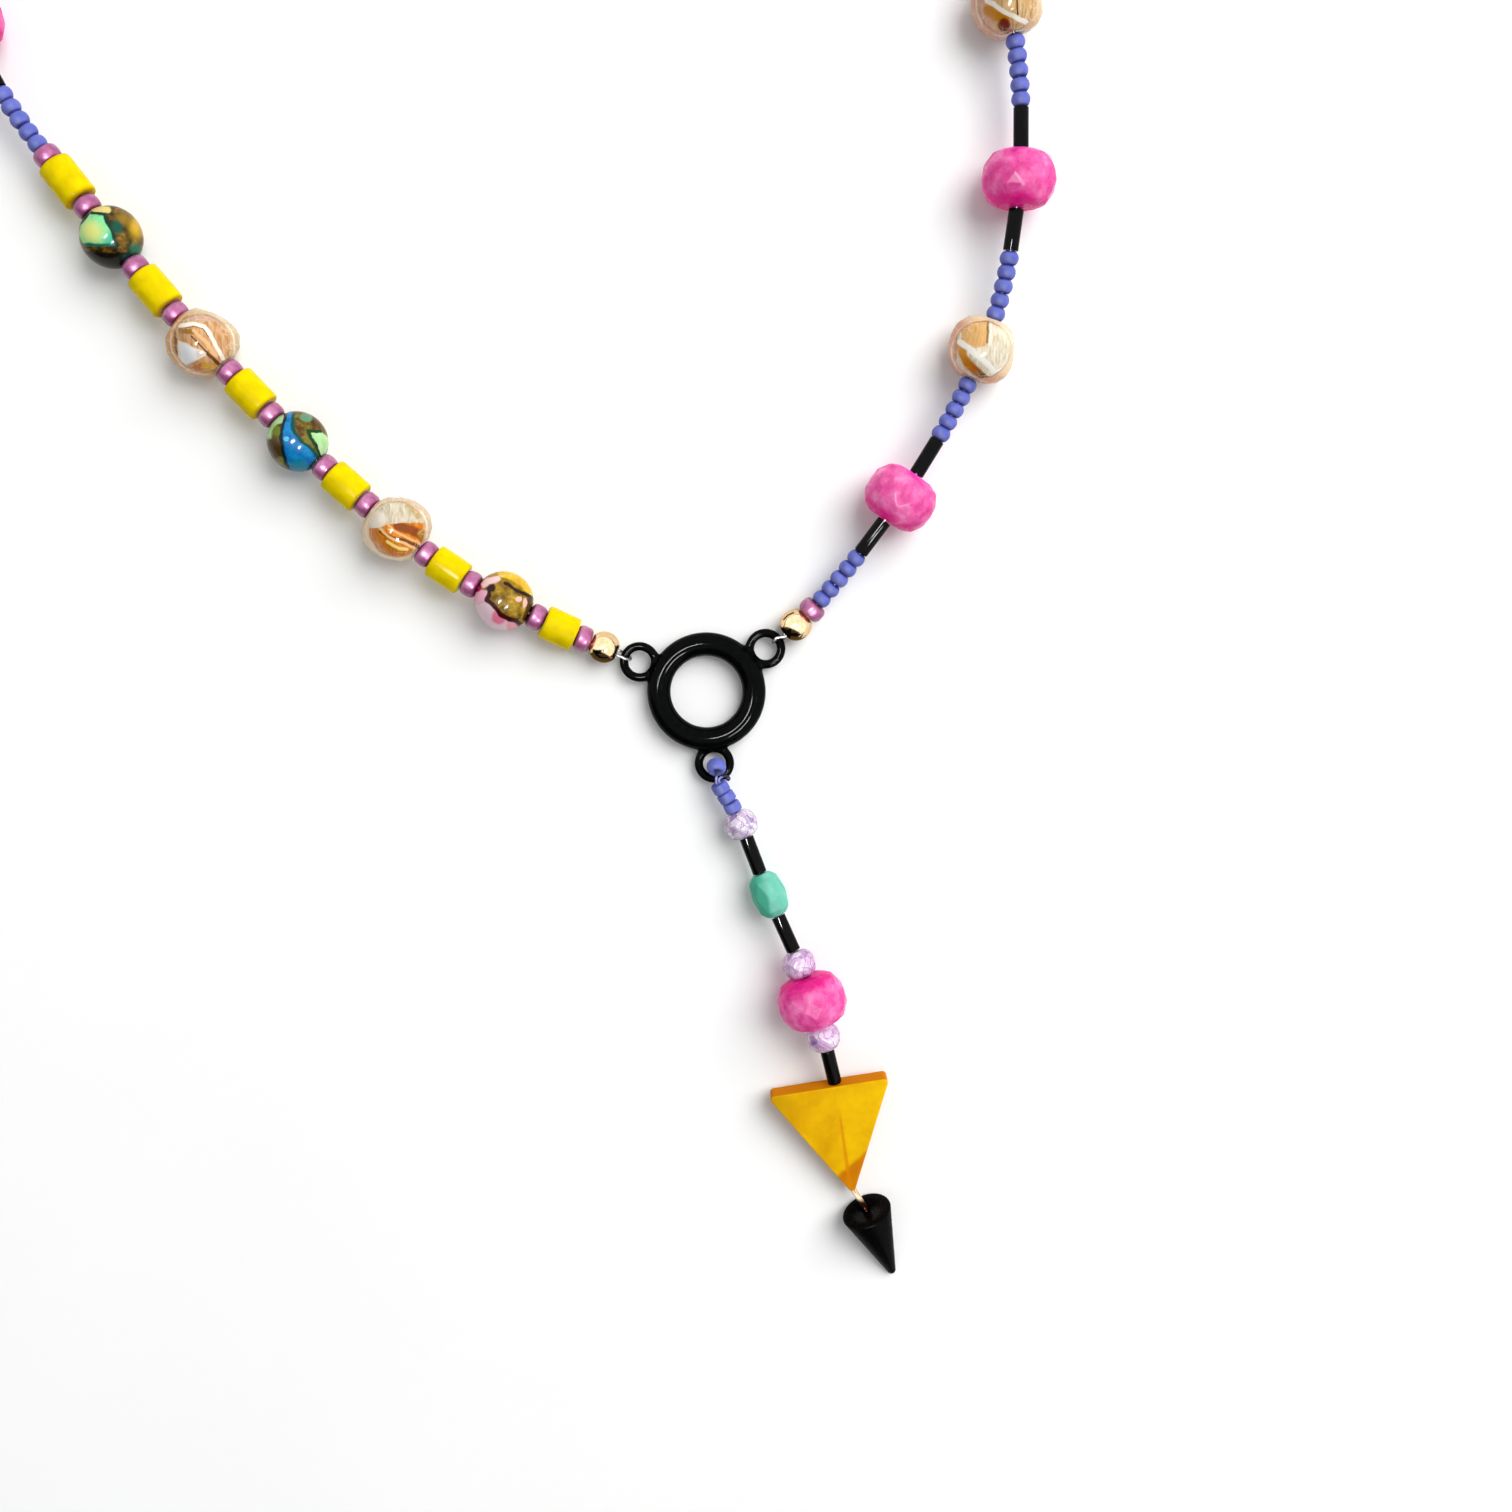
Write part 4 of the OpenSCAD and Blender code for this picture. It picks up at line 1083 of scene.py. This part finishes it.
def settle(piece):
    """Gives the piece the mesh that its modifiers make, and takes them off."""
    mesh = bpy.data.meshes.new_from_object(piece.evaluated_get(bpy.context.evaluated_depsgraph_get()))
    piece.modifiers.clear()
    old = piece.data
    piece.data = mesh
    bpy.data.meshes.remove(old)
    mesh.name = piece.name
    return piece


def reshape(piece, modifiers):
    """Applies modifiers, each a kind and its settings, and leaves a plain mesh."""
    for kind, settings in modifiers:
        modifier = piece.modifiers.new(kind.lower(), kind)
        for key, value in settings.items():
            setattr(modifier, key, value)
    settle(piece)


def soft_bevel(width, segments, angle):
    """A modifier that rounds all edges sharper than an angle, and keeps the faces between them flat."""
    return "BEVEL", {
        "width": width * MM, "segments": segments, "limit_method": "ANGLE",
        "angle_limit": math.radians(angle), "harden_normals": True}


def face_outwards(mesh):
    work = bmesh.new()
    work.from_mesh(mesh)
    bmesh.ops.recalc_face_normals(work, faces=work.faces)
    work.to_mesh(mesh)
    work.free()


def belongs(piece, node):
    """Says what a piece rides on, and which node of the part it stands for, which it hides."""
    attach(piece, "root")
    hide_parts(node)


# Geometry Nodes trees

class Tree(Nodes):
    """A node tree for a modifier, with named inputs."""

    def __init__(self, name, inputs):
        super().__init__(bpy.data.node_groups.new(name, "GeometryNodeTree"))
        self.keys = {}
        for label, kind in {"Geometry": "Geometry", **inputs}.items():
            socket = self.tree.interface.new_socket(label, in_out="INPUT", socket_type="NodeSocket" + kind)
            self.keys[label] = socket.identifier
        self.tree.interface.new_socket("Geometry", in_out="OUTPUT", socket_type="NodeSocketGeometry")
        self.given = {label: self.node("NodeGroupInput", output=label) for label in self.keys}

    def with_attribute(self, geometry, name, value, kind, domain):
        return self.node("GeometryNodeStoreNamedAttribute", {"data_type": kind, "domain": domain}, {
            "Geometry": geometry, "Name": name, "Value": value})

    def random_vector(self, low, high, seed):
        sockets = {0: low, 1: high, "Seed": seed}
        return self.node("FunctionNodeRandomValue", {"data_type": "FLOAT_VECTOR"}, sockets)

    def finish_with(self, geometry, material):
        """Real geometry, smooth, with its material, as the tree's result."""
        real = self.node("GeometryNodeRealizeInstances", sockets={0: geometry})
        smooth = self.node("GeometryNodeSetShadeSmooth", sockets={"Geometry": real})
        dressed = self.node("GeometryNodeSetMaterial", sockets={"Geometry": smooth, "Material": material})
        self.node("NodeGroupOutput", sockets={0: dressed})

    def apply(self, piece, **values):
        """Runs the tree on a piece with its inputs set, and leaves a plain mesh."""
        modifier = piece.modifiers.new(self.tree.name, "NODES")
        modifier.node_group = self.tree
        for label, value in values.items():
            modifier[self.keys[label.replace("_", " ").title()]] = value
        return settle(piece)


# How much a fully rounded bead's wall thins towards its ends
BEAD_WAIST = 0.35

# A bead's own turn about the wire goes up to nearly a full one, in radians
FULL_TURN = 6.2


def strung_bead_tree():
    """Ring-shaped beads with rounded edges, one on each point, turned along the wire and a little uneven."""
    floats = (
        "Bead Diameter", "Bead Length", "Hole Diameter", "Corner", "Roundness", "Size Spread", "Tilt Spread")
    tree = Tree("strung beads", {
        **dict.fromkeys(floats, "Float"), "Sides": "Int", "Seed": "Int", "Finish": "Material"})
    given = tree.given
    width, length, hole = given["Bead Diameter"], given["Bead Length"], given["Hole Diameter"]
    wall = (width - hole) * 0.5
    section = tree.node("GeometryNodeCurvePrimitiveQuadrilateral", sockets={"Width": wall, "Height": length})
    section = tree.node("GeometryNodeFilletCurve", {"mode": "POLY"}, {
        "Curve": section, "Count": 4, "Radius": given["Corner"]})
    section = tree.node("GeometryNodeSubdivideCurve", sockets={"Curve": section, "Cuts": 1})
    half = tree.vector(wall * 0.5, length * 0.5, 1.0)
    flat = tree.node("GeometryNodeInputPosition")
    oval = tree.vector_maths("NORMALIZE", tree.vector_maths("DIVIDE", flat, half))
    along = tree.parts(oval)[1]
    waist = tree.vector(tree.maths("MULTIPLY_ADD", along * along, -BEAD_WAIST, 1.0), 1.0, 1.0)
    oval = tree.vector_maths("MULTIPLY", tree.vector_maths("MULTIPLY", oval, half), waist)
    rounded = tree.node(
        "ShaderNodeMix", {"data_type": "VECTOR"}, {0: given["Roundness"], 4: flat, 5: oval}, output=1)
    section = tree.node("GeometryNodeSetPosition", sockets={"Geometry": section, "Position": rounded})
    loop = tree.node("GeometryNodeCurvePrimitiveCircle", sockets={
        "Resolution": given["Sides"], "Radius": (width + hole) * 0.25})
    bead = tree.node("GeometryNodeCurveToMesh", sockets={"Curve": loop, "Profile Curve": section})
    place = tree.scaled(tree.node("GeometryNodeInputPosition"), 1 / MM)
    bead = tree.with_attribute(bead, "bead_place", place, "FLOAT_VECTOR", "POINT")
    direction = tree.node("GeometryNodeInputNamedAttribute", {"data_type": "FLOAT_VECTOR"}, {
        "Name": "wire_direction"})
    aimed = tree.node("FunctionNodeAlignRotationToVector", {"axis": "Z"}, {"Vector": direction})
    spread, small = given["Tilt Spread"], 1 - given["Size Spread"]
    tilt = tree.random_vector(
        tree.vector(spread * -1, spread * -1), tree.vector(spread, spread, FULL_TURN), given["Seed"])
    tilt = tree.node("FunctionNodeEulerToRotation", sockets={0: tilt})
    turned = tree.node("FunctionNodeRotateRotation", {"rotation_space": "LOCAL"}, {
        "Rotation": aimed, "Rotate By": tilt})
    size = tree.random_vector(tree.vector(small, small, small), (1, 1, 1), given["Seed"] + 7)
    beads = tree.node("GeometryNodeInstanceOnPoints", sockets={
        "Points": given["Geometry"], "Instance": bead, "Rotation": turned, "Scale": size})
    number = tree.node("GeometryNodeInputIndex")
    beads = tree.with_attribute(beads, "bead_number", number, "FLOAT", "INSTANCE")
    tree.finish_with(beads, given["Finish"])
    return tree


def wire_tree():
    """A round wire along a smooth curve through the given points."""
    tree = Tree("wire along a route", {"Wire Diameter": "Float", "Sides": "Int", "Finish": "Material"})
    given = tree.given
    line = tree.node("GeometryNodeMeshToCurve", sockets={"Mesh": given["Geometry"]})
    line = tree.node("GeometryNodeCurveSplineType", {"spline_type": "CATMULL_ROM"}, {"Curve": line})
    line = tree.node("GeometryNodeSetSplineResolution", sockets={"Geometry": line, "Resolution": 4})
    section = tree.node("GeometryNodeCurvePrimitiveCircle", sockets={
        "Resolution": given["Sides"], "Radius": given["Wire Diameter"] * 0.5})
    wire = tree.node("GeometryNodeCurveToMesh", sockets={
        "Curve": line, "Profile Curve": section, "Fill Caps": True})
    tree.finish_with(wire, given["Finish"])
    return tree


STRUNG_BEADS = strung_bead_tree()
WIRE = wire_tree()


def string_up(name, spots, material, diameter, length, corner, sides, hole=BORE_D, roundness=0.0,
              size_spread=0.0, tilt_spread=0.0, seed=1):
    """One mesh of like beads, from their middles and directions."""
    piece = add_mesh(name, [(RING_CENTRE + middle) * MM for middle, _ in spots])
    store(piece.data, "wire_direction", [direction[:] for _, direction in spots])
    return STRUNG_BEADS.apply(
        piece, bead_diameter=diameter * MM, bead_length=length * MM, hole_diameter=hole * MM,
        corner=corner * MM, roundness=roundness, sides=sides, size_spread=size_spread,
        tilt_spread=tilt_spread, seed=seed, finish=material)


def run_wire(name, path, diameter, material, sides=10):
    points = [(RING_CENTRE + Vector(p)) * MM for p in path]
    piece = add_mesh(name, points, edges=[(i, i + 1) for i in range(len(path) - 1)])
    return WIRE.apply(piece, wire_diameter=diameter * MM, sides=sides, finish=material)


# The ring with its eyes

# The rough casting: its grain, how much thicker its eyes are, and the sides round a ring and its wire
RING_VOXEL = 0.13
ROUGH_EYE_EXTRA = 0.03
RING_SIDES = (64, 24)
EYE_SIDES = (48, 16)

# The finished one: its fillets, and how its points are moved onto the surface
RING_FILLET = 0.2
SLOPE_PROBE = 0.01
SLOPE_LEAST = 0.2
SURFACE_MOVES = 6


def eye_centre(angle):
    """An eye's centre from the ring's."""
    turn = math.radians(angle)
    return np.array([EYE_REACH * math.cos(turn), EYE_REACH * math.sin(turn), EYE_Z - RING_Z])


# The ring and its eyes, each as its centre, its radius and half its wire's width
RING_SHAPES = [
    (np.zeros(3), (RING_D - RING_WIRE) / 2, RING_WIRE / 2),
    *((eye_centre(angle), EYE_RADIUS, EYE_WIRE / 2) for angle in EYE_ANGLES.values()),
]


def ring_distance(points):
    """Distance to the ring's surface, with fillets where the eyes join it."""
    total = 0
    for (x, y, z), major, minor in RING_SHAPES:
        flat = np.hypot(points[:, 0] - x, points[:, 1] - y) - major
        total = total + np.exp(-(np.hypot(flat, points[:, 2] - z) - minor) / RING_FILLET)
    return -RING_FILLET * np.log(total)


def torus(centre, major, minor, sides, section):
    """A ring that lies flat, as points and faces."""
    angles = 2 * math.pi * np.arange(section) / section
    across, up = major + minor * np.cos(angles), minor * np.sin(angles)
    return skin([
        centre + np.outer(across, (math.cos(turn), math.sin(turn), 0)) + np.outer(up, (0, 0, 1))
        for turn in 2 * math.pi * np.arange(sides) / sides
    ])


def joined(shapes):
    """The points and faces of several shapes as one."""
    points, faces = [], []
    for more_points, more_faces in shapes:
        faces += [tuple(len(points) + i for i in face) for face in more_faces]
        points += more_points.tolist()
    return points, faces


def black_ring(material):
    """Ring and eyes as one casting: rough union first, then every point moved onto the filleted surface."""
    ring, *eyes = RING_SHAPES
    shapes = [torus(*ring, *RING_SIDES)]
    shapes += [torus(centre, major, minor + ROUGH_EYE_EXTRA, *EYE_SIDES) for centre, major, minor in eyes]
    rough = add_mesh("ring_casting", *joined(shapes))
    face_outwards(rough.data)
    reshape(rough, [("REMESH", {"mode": "VOXEL", "voxel_size": RING_VOXEL})])
    points = points_of(rough.data)
    for _ in range(SURFACE_MOVES):
        here = ring_distance(points)
        slope = np.stack([
            (ring_distance(points + SLOPE_PROBE * axis) - here) / SLOPE_PROBE for axis in np.eye(3)], 1)
        points = points - slope * (here / np.maximum((slope ** 2).sum(1), SLOPE_LEAST))[:, None]
    faces = [tuple(face.vertices) for face in rough.data.polygons]
    bpy.data.objects.remove(rough)
    place = Matrix.Translation(RING_CENTRE + Vector((0, 0, RING_Z)))
    return make_piece("ring_casting", points, faces, place, material)


# Wire and thread paths

# A neck wire's turn round its eye: start and end in degrees, its slant, its gap to the eye and its size
WRAP_START = 360
WRAP_END = 90
WRAP_SIDEWAYS = 0.3
WRAP_GAP = 0.045
WRAP_RADIUS = EYE_WIRE / 2 + WIRE_D / 2 + WRAP_GAP
WRAP_REACH = EYE_REACH + EYE_RADIUS

# Its two legs in the first bead, as shares of half the bead's length from its middle
LEG_OUTER = -0.9
LEG_INNER = 0.2

# Where the wire rises to its turn, from the turn's outer side and above the eye's middle
RISE_OUT = 0.01
RISE_UP = 0.4

# The rest of the wire: its points' distance, where it leaves its strand, and how far it goes on
WIRE_STEP = 5.5
WIRE_SHORT_OF_END = 0.3
WIRE_INTO_CLASP = 2.5
UP = Vector((0, 0, 1))


def eye_point(angle, outward, sideways, height):
    """A point near an eye, measured outwards from the ring's centre, sideways and above the table."""
    c, s = math.cos(math.radians(angle)), math.sin(math.radians(angle))
    return Vector((outward * c - sideways * s, outward * s + sideways * c, height))


def wrap(angle):
    """The wire's turn round its eye: outer side, below, inner side and top."""
    return [eye_point(
        angle,
        WRAP_REACH + WRAP_RADIUS * math.cos(math.radians(turn)),
        WRAP_SIDEWAYS * (WRAP_START + WRAP_END - 2 * turn) / (WRAP_START - WRAP_END),
        EYE_Z + WRAP_RADIUS * math.sin(math.radians(turn)),
    ) for turn in np.linspace(WRAP_START, WRAP_END, 13)]


def first_leg(strand, side, share):
    """A point of the wire in the strand's first bead, to one side of its middle line."""
    axis = strand.direction(0)
    sideways = UP.cross(axis).normalized()
    return strand.middle(0) + axis * share * GOLD_LEN / 2 + sideways * side * WRAP_SIDEWAYS


def wire_stretch(strand, start, end):
    """Points along a strand, at most one step apart."""
    parts = math.ceil((end - start) / WIRE_STEP)
    return [strand.at(start + (end - start) * k / parts) for k in range(parts + 1)]


def neck_wire_path(strand, other, angle, side):
    """From the first bead round the eye, back through the bead and on into the clasp."""
    inward = ((strand.end() + other.end()) / 2 - strand.end()).normalized()
    rise = eye_point(angle, WRAP_REACH + WRAP_RADIUS + RISE_OUT, -WRAP_SIDEWAYS, EYE_Z + RISE_UP)
    return [
        first_leg(strand, -side, LEG_INNER), first_leg(strand, -side, LEG_OUTER), rise, *wrap(angle),
        first_leg(strand, side, LEG_OUTER), first_leg(strand, side, LEG_INNER),
        *wire_stretch(strand, strand.joints[1], strand.joints[-1] - WIRE_SHORT_OF_END),
        strand.end() + inward * WIRE_INTO_CLASP,
    ]


# By an eye, as outwards, sideways and up: the ends of the seed in it, and the thread's way round it
EYE_SEED = [(10.24, 0.25, 2.99), (9.16, 0.25, 1.91)]
THREAD_AROUND = [
    (11.15, 0.5, 3.1), (10.95, 1.15, 3), (11.1, 1.6, 2.6), (11.45, 1.75, 1.9), (11.75, 1.5, 1.2),
    (11.5, 1.3, 0.6), (10.8, 1.1, 0.45), (10, 0.7, 0.5), (9.3, 0.3, 0.8), (8.98, 0.25, 1.5),
]

# Along the drop: the thread's two legs, how far apart they are, and where they have become one
THREAD_LEGS = (0.2, 2.2)
THREAD_SIDE = 0.24
THREAD_JOINED = 4.6
THREAD_PROBE = 0.5


def thread_leg(s, side):
    """A point of the thread in the first seeds, to one side of their middle line."""
    here = DROP.at(s)
    sideways = UP.cross(DROP.at(s + THREAD_PROBE) - here).normalized()
    return here + sideways * side * THREAD_SIDE


def drop_thread_path():
    angle = EYE_ANGLES["drop"]
    near, far = THREAD_LEGS
    return [
        thread_leg(far, 1), thread_leg(near, 1),
        *(eye_point(angle, *p) for p in THREAD_AROUND + EYE_SEED[::-1]),
        thread_leg(near, -1), thread_leg(far, -1), *wire_stretch(DROP, THREAD_JOINED, DROP.lengths[-1]),
    ]


# The pendant

# Where the thread enters the triangle, how that is turned and tilted, and its edges' width, steps and angle
TRIANGLE_ENTRY = Vector((16.8, -51.6, 2.9))
TRIANGLE_TURN = 9.3
TRIANGLE_TILT = 5.3
TRIANGLE_EDGE = (0.22, 3, 40)
TRIANGLE_CORNERS = [
    Vector((-TRIANGLE_W / 2 - TRIANGLE_SKEW, 0)), Vector((TRIANGLE_W / 2 - TRIANGLE_SKEW, 0)),
    Vector((0, -TRIANGLE_H)),
]
TRIANGLE_PLACE = (
    Matrix.Translation(TRIANGLE_ENTRY)
    @ Matrix.Rotation(math.radians(TRIANGLE_TURN), 4, "Z")
    @ Matrix.Rotation(math.radians(TRIANGLE_TILT), 4, "X")
)
TRIANGLE_TIP = TRIANGLE_PLACE @ Vector((0, -TRIANGLE_H, 0))

# The cone lies on its side: its rounded tip and edge, its hole, and where it points in degrees
CONE_TIP_R = 0.6
CONE_EDGE = 0.25
CONE_HOLE_DEPTH = 3
CONE_TURN = -69
CONE_LEAN = math.asin((CONE_D / 2 - CONE_TIP_R) / (CONE_LEN - CONE_TIP_R))
CONE_BASE = Vector((21, -69.1, CONE_TIP_R + (CONE_LEN - CONE_TIP_R) * math.sin(CONE_LEAN)))
CONE_AXIS = Vector((
    math.cos(math.radians(CONE_TURN)) * math.cos(CONE_LEAN),
    math.sin(math.radians(CONE_TURN)) * math.cos(CONE_LEAN),
    -math.sin(CONE_LEAN),
))


def triangle_outline(steps=6):
    """The rounded outline, clockwise from the left corner."""
    outline = []
    for i, corner in enumerate(TRIANGLE_CORNERS):
        back = (TRIANGLE_CORNERS[i - 1] - corner).normalized()
        on = (TRIANGLE_CORNERS[(i + 1) % 3] - corner).normalized()
        inward = (back + on).normalized()
        half = math.acos(inward.dot(on))
        centre = corner + inward * TRIANGLE_CORNER / math.sin(half)
        turn = math.degrees(math.pi - 2 * half)
        middle = math.degrees(math.atan2(-inward.y, -inward.x))
        outline += arc(centre, TRIANGLE_CORNER, middle + turn / 2, middle - turn / 2, steps)
    return outline


def amber_triangle(material):
    """A rounded plate, drilled upright from its top edge to its tip."""
    outline = triangle_outline()
    plate = skin([
        np.array([(x, y, height) for x, y in outline]) for height in (TRIANGLE_T / 2, -TRIANGLE_T / 2)
    ], closed=False)
    upright = np.array(Matrix.Rotation(math.radians(90), 3, "X"))
    rod = skin([
        circle_points(BORE_D / 2, height, 24) @ upright for height in (-2 * TRIANGLE_H, TRIANGLE_H)
    ], closed=False)
    piece, drill = (
        add_mesh(name, (points * MM).tolist(), faces)
        for name, (points, faces) in (("triangle_plate", plate), ("triangle_drill", rod)))
    for tool in (piece, drill):
        face_outwards(tool.data)
    reshape(piece, [
        ("BOOLEAN", {"operation": "DIFFERENCE", "object": drill, "solver": "EXACT"}),
        soft_bevel(*TRIANGLE_EDGE),
    ])
    bpy.data.objects.remove(drill)
    mesh = piece.data
    points = points_of(mesh) / MM
    placed = points @ np.array(TRIANGLE_PLACE.to_3x3()).T
    placed = placed + np.array(TRIANGLE_PLACE.translation + RING_CENTRE)
    store(mesh, "bead_place", points)
    mesh.materials.append(material)
    mesh.vertices.foreach_set("co", (placed * MM).ravel())
    mesh.update()
    return piece


def black_cone(material):
    profile = [(BORE_D / 2, 0), (CONE_D / 2 - CONE_EDGE, 0)]
    profile += arc((CONE_D / 2 - CONE_EDGE, CONE_EDGE), CONE_EDGE, -90, 0, 4)[1:]
    lean = math.degrees(CONE_LEAN)
    profile += arc((0, CONE_LEN - CONE_TIP_R), CONE_TIP_R, lean, 89, 6)
    profile += [(0.01, CONE_HOLE_DEPTH), (BORE_D / 2, CONE_HOLE_DEPTH)]
    return make_piece("cone_body", *lathe(profile, 64), place_at(CONE_BASE, CONE_AXIS), material)


# The link's wire: how deep its points lie in the triangle and in the cone, and how it bows between them
LINK_IN_TRIANGLE = (2.2, 0.3)
LINK_IN_CONE = (0.1, 2)
LINK_BOW = Vector((0.25, -0.1, 0.35))


def link_path():
    along = (TRIANGLE_TIP - TRIANGLE_ENTRY).normalized()
    return [
        *(TRIANGLE_TIP - along * depth for depth in LINK_IN_TRIANGLE),
        (TRIANGLE_TIP + CONE_BASE) / 2 + LINK_BOW,
        *(CONE_BASE + CONE_AXIS * depth for depth in LINK_IN_CONE),
    ]


# The clasp's gap to the strand at each end, and its rounding
CLASP_GAP = 0.45
CLASP_CORNER = 1.6


def barrel_clasp(material):
    span = RIGHT.end() - LEFT.end()
    shape = barrel(CLASP_D, span.length - 2 * CLASP_GAP, CLASP_CORNER, steps=12)
    place = place_at((LEFT.end() + RIGHT.end()) / 2, span.normalized())
    return make_piece("clasp_barrel", *shape, place, material)


# The whole necklace

FLOOR_SIZE = 4.0


def lay_floor():
    half = FLOOR_SIZE / 2
    corners = [(-half, -half, 0), (half, -half, 0), (half, half, 0), (-half, half, 0)]
    floor = add_mesh("table", corners, [(0, 1, 2, 3)])
    floor.data.materials.append(table_top())
    floor.location.z = cad_box[0].z


# By kind of bead: the ending of its piece's name, its slot, and how its shape is made
MAIN_BEADS = {
    "gold": ("ball", "gold_metal", lambda n, length: ground_ball(GOLD_D, length)),
    "tube": ("glazed", "yellow_glaze", lambda n, length: barrel(TUBE_D, length, TUBE_CORNER)),
    "mosaic": ("stone", "mosaic_stone", lambda n, length: ground_ball(MOSAIC_D, length)),
    "nugget": ("glass", "champagne_glass", lambda n, length: nugget(NUGGET_DOWN + NUGGET_WOBBLE[n])),
    "rondelle": ("stone", "pink_glass", lambda n, length: cut_bead(RONDELLE_ROWS, RONDELLE_D, length, 12)),
    "lilac": ("crystal", "lilac_glass", lambda n, length: cut_bead(LILAC_ROWS, LILAC_D, length, 10)),
    "mint": ("drum", "mint_glass", lambda n, length: cut_bead(MINT_ROWS, MINT_D, length, 8)),
}

# Width, steps and least angle of the softened edges of cut beads
SOFT_EDGES = {"rondelle": (0.35, 3, 8), "lilac": (0.12, 2, 8), "mint": (0.16, 2, 8)}


def main_finishes():
    """By kind of bead, or strand and kind: its finishes in turn from the ring outwards."""
    gold = gold_polish()
    seamed = gold_polish("gold_seamed", seam=True)
    crackle = lilac_glass("lilac_crackle", [
        (0.24, "#9A7EB4"), (0.36, "#C2AACE"), (0.55, "#D2BEDA"), (0.75, "#ECE2F0")], 1.0)
    cut = lilac_glass("lilac_cut", [
        (0.22, "#9C70A8"), (0.34, "#CCA0CE"), (0.5, "#DAB2DC"), (0.66, "#E2C8E6"), (0.8, "#F4E8F4")], 0.0)
    return {
        "left_gold": [gold, gold], "right_gold": [seamed, gold],
        "tube": [yellow_glaze()], "rondelle": [pink_quartz()], "lilac": [crackle, cut, cut],
        "mint": [mint_satin()], "mosaic": [mosaic_pink(), mosaic_blue(), mosaic_green()],
        "left_nugget": [champagne_amber(), champagne_window()],
        "right_nugget": [champagne_cream(), champagne_tan()],
    }


def string_main_beads():
    finishes = main_finishes()
    for strand in (LEFT, RIGHT, DROP):
        for kind, (ending, slot, shape) in MAIN_BEADS.items():
            for n, i in enumerate(strand.sites(kind)):
                choice = finishes.get(f"{strand.name}_{kind}") or finishes[kind]
                node = f"{strand.name}_{kind}_{n + 1}"
                piece = make_piece(
                    f"{node}_{ending}", *shape(n, strand.beads[i][1]), place_at(*strand.spot(i)),
                    choice[n % len(choice)], number=n + 10 * len(strand.name))
                if kind in SOFT_EDGES:
                    reshape(piece, [soft_bevel(*SOFT_EDGES[kind])])
                belongs(piece, node)


# The small beads' forms; their lengths take up most of the gap to the next bead
SPACER_FORM = {
    "diameter": SPACER_D, "length": SPACER_LEN + 0.2, "corner": 0.55, "hole": 0.9, "roundness": 0.4,
    "sides": 32, "size_spread": 0.02, "tilt_spread": 0.02, "seed": 3,
}
BUGLE_FORM = {"diameter": BUGLE_D, "length": BUGLE_LEN, "corner": 0.06, "sides": 28}
NECK_SEED_FORM = {
    "diameter": SEED_D + 0.08, "length": SEED_LEN + 0.16, "corner": 0.47, "hole": 0.5, "roundness": 1.0,
    "sides": 24, "size_spread": 0.04, "tilt_spread": 0.08, "seed": 5,
}
DROP_SEED_FORM = {
    "diameter": SEED_D, "length": DROP_SEED_LEN + 0.12, "corner": 0.28, "hole": 0.7, "roundness": 0.2,
    "sides": 24, "size_spread": 0.03, "tilt_spread": 0.05, "seed": 8,
}
EYE_SEED_FORM = {
    "diameter": SEED_D + 0.2, "length": SEED_LEN + 0.24, "corner": 0.5, "hole": 0.5, "roundness": 0.7,
    "sides": 32, "seed": 9,
}


def string_small_beads():
    blue = blue_matte()
    rows = [
        ((LEFT, RIGHT), "spacer", "lustre_rings", mauve_lustre(), "mauve_lustre", "spacers", SPACER_FORM),
        ((LEFT, RIGHT, DROP), "bugle", "jet_bugles", black_glass(), "black_glass", "bugles", BUGLE_FORM),
        ((LEFT, RIGHT), "seed", "seed_beads", blue, "blue_seed", "seed_runs", NECK_SEED_FORM),
        ((DROP,), "seed", "seed_beads", blue, "blue_seed", "seed_runs", DROP_SEED_FORM),
    ]
    for strands, kind, ending, finish, slot, node, form in rows:
        for strand in strands:
            spots = [strand.spot(i) for i in strand.sites(kind)]
            piece = string_up(f"{strand.name}_{ending}", spots, finish, **form)
            belongs(piece, f"{strand.name}_{node}")
    ends = [eye_point(EYE_ANGLES["drop"], *p) for p in EYE_SEED]
    spot = ((ends[0] + ends[1]) / 2, (ends[0] - ends[1]).normalized())
    piece = string_up("drop_eye_seed", [spot], blue_matte("blue_eye", length=2.1), **EYE_SEED_FORM)
    belongs(piece, "drop_seed_runs")


def run_wires():
    silver = silver_wire()
    for strand, other, side in ((LEFT, RIGHT, 1), (RIGHT, LEFT, -1)):
        path = neck_wire_path(strand, other, EYE_ANGLES[strand.name], side)
        wire = run_wire(f"{strand.name}_beading_wire", path, WIRE_D, silver)
        belongs(wire, f"{strand.name}_wire")
    thread = run_wire("drop_beading_thread", drop_thread_path(), THREAD_D, lavender_thread())
    belongs(thread, "drop_thread")


def hang_pendant():
    belongs(amber_triangle(amber_resin()), "triangle")
    belongs(black_cone(black_satin()), "cone")
    gold = gold_polish("gold_fittings")
    belongs(run_wire("cone_link_wire", link_path(), LINK_D, link_gold(), 16), "cone_link")
    belongs(barrel_clasp(gold), "clasp")


bpy.context.scene.view_settings.view_transform = "Standard"
bpy.context.scene.view_settings.look = "None"
place_camera()
studio_world()
place_lights()
lay_floor()
belongs(black_ring(black_enamel()), "ring")
string_main_beads()
string_small_beads()
run_wires()
hang_pendant()
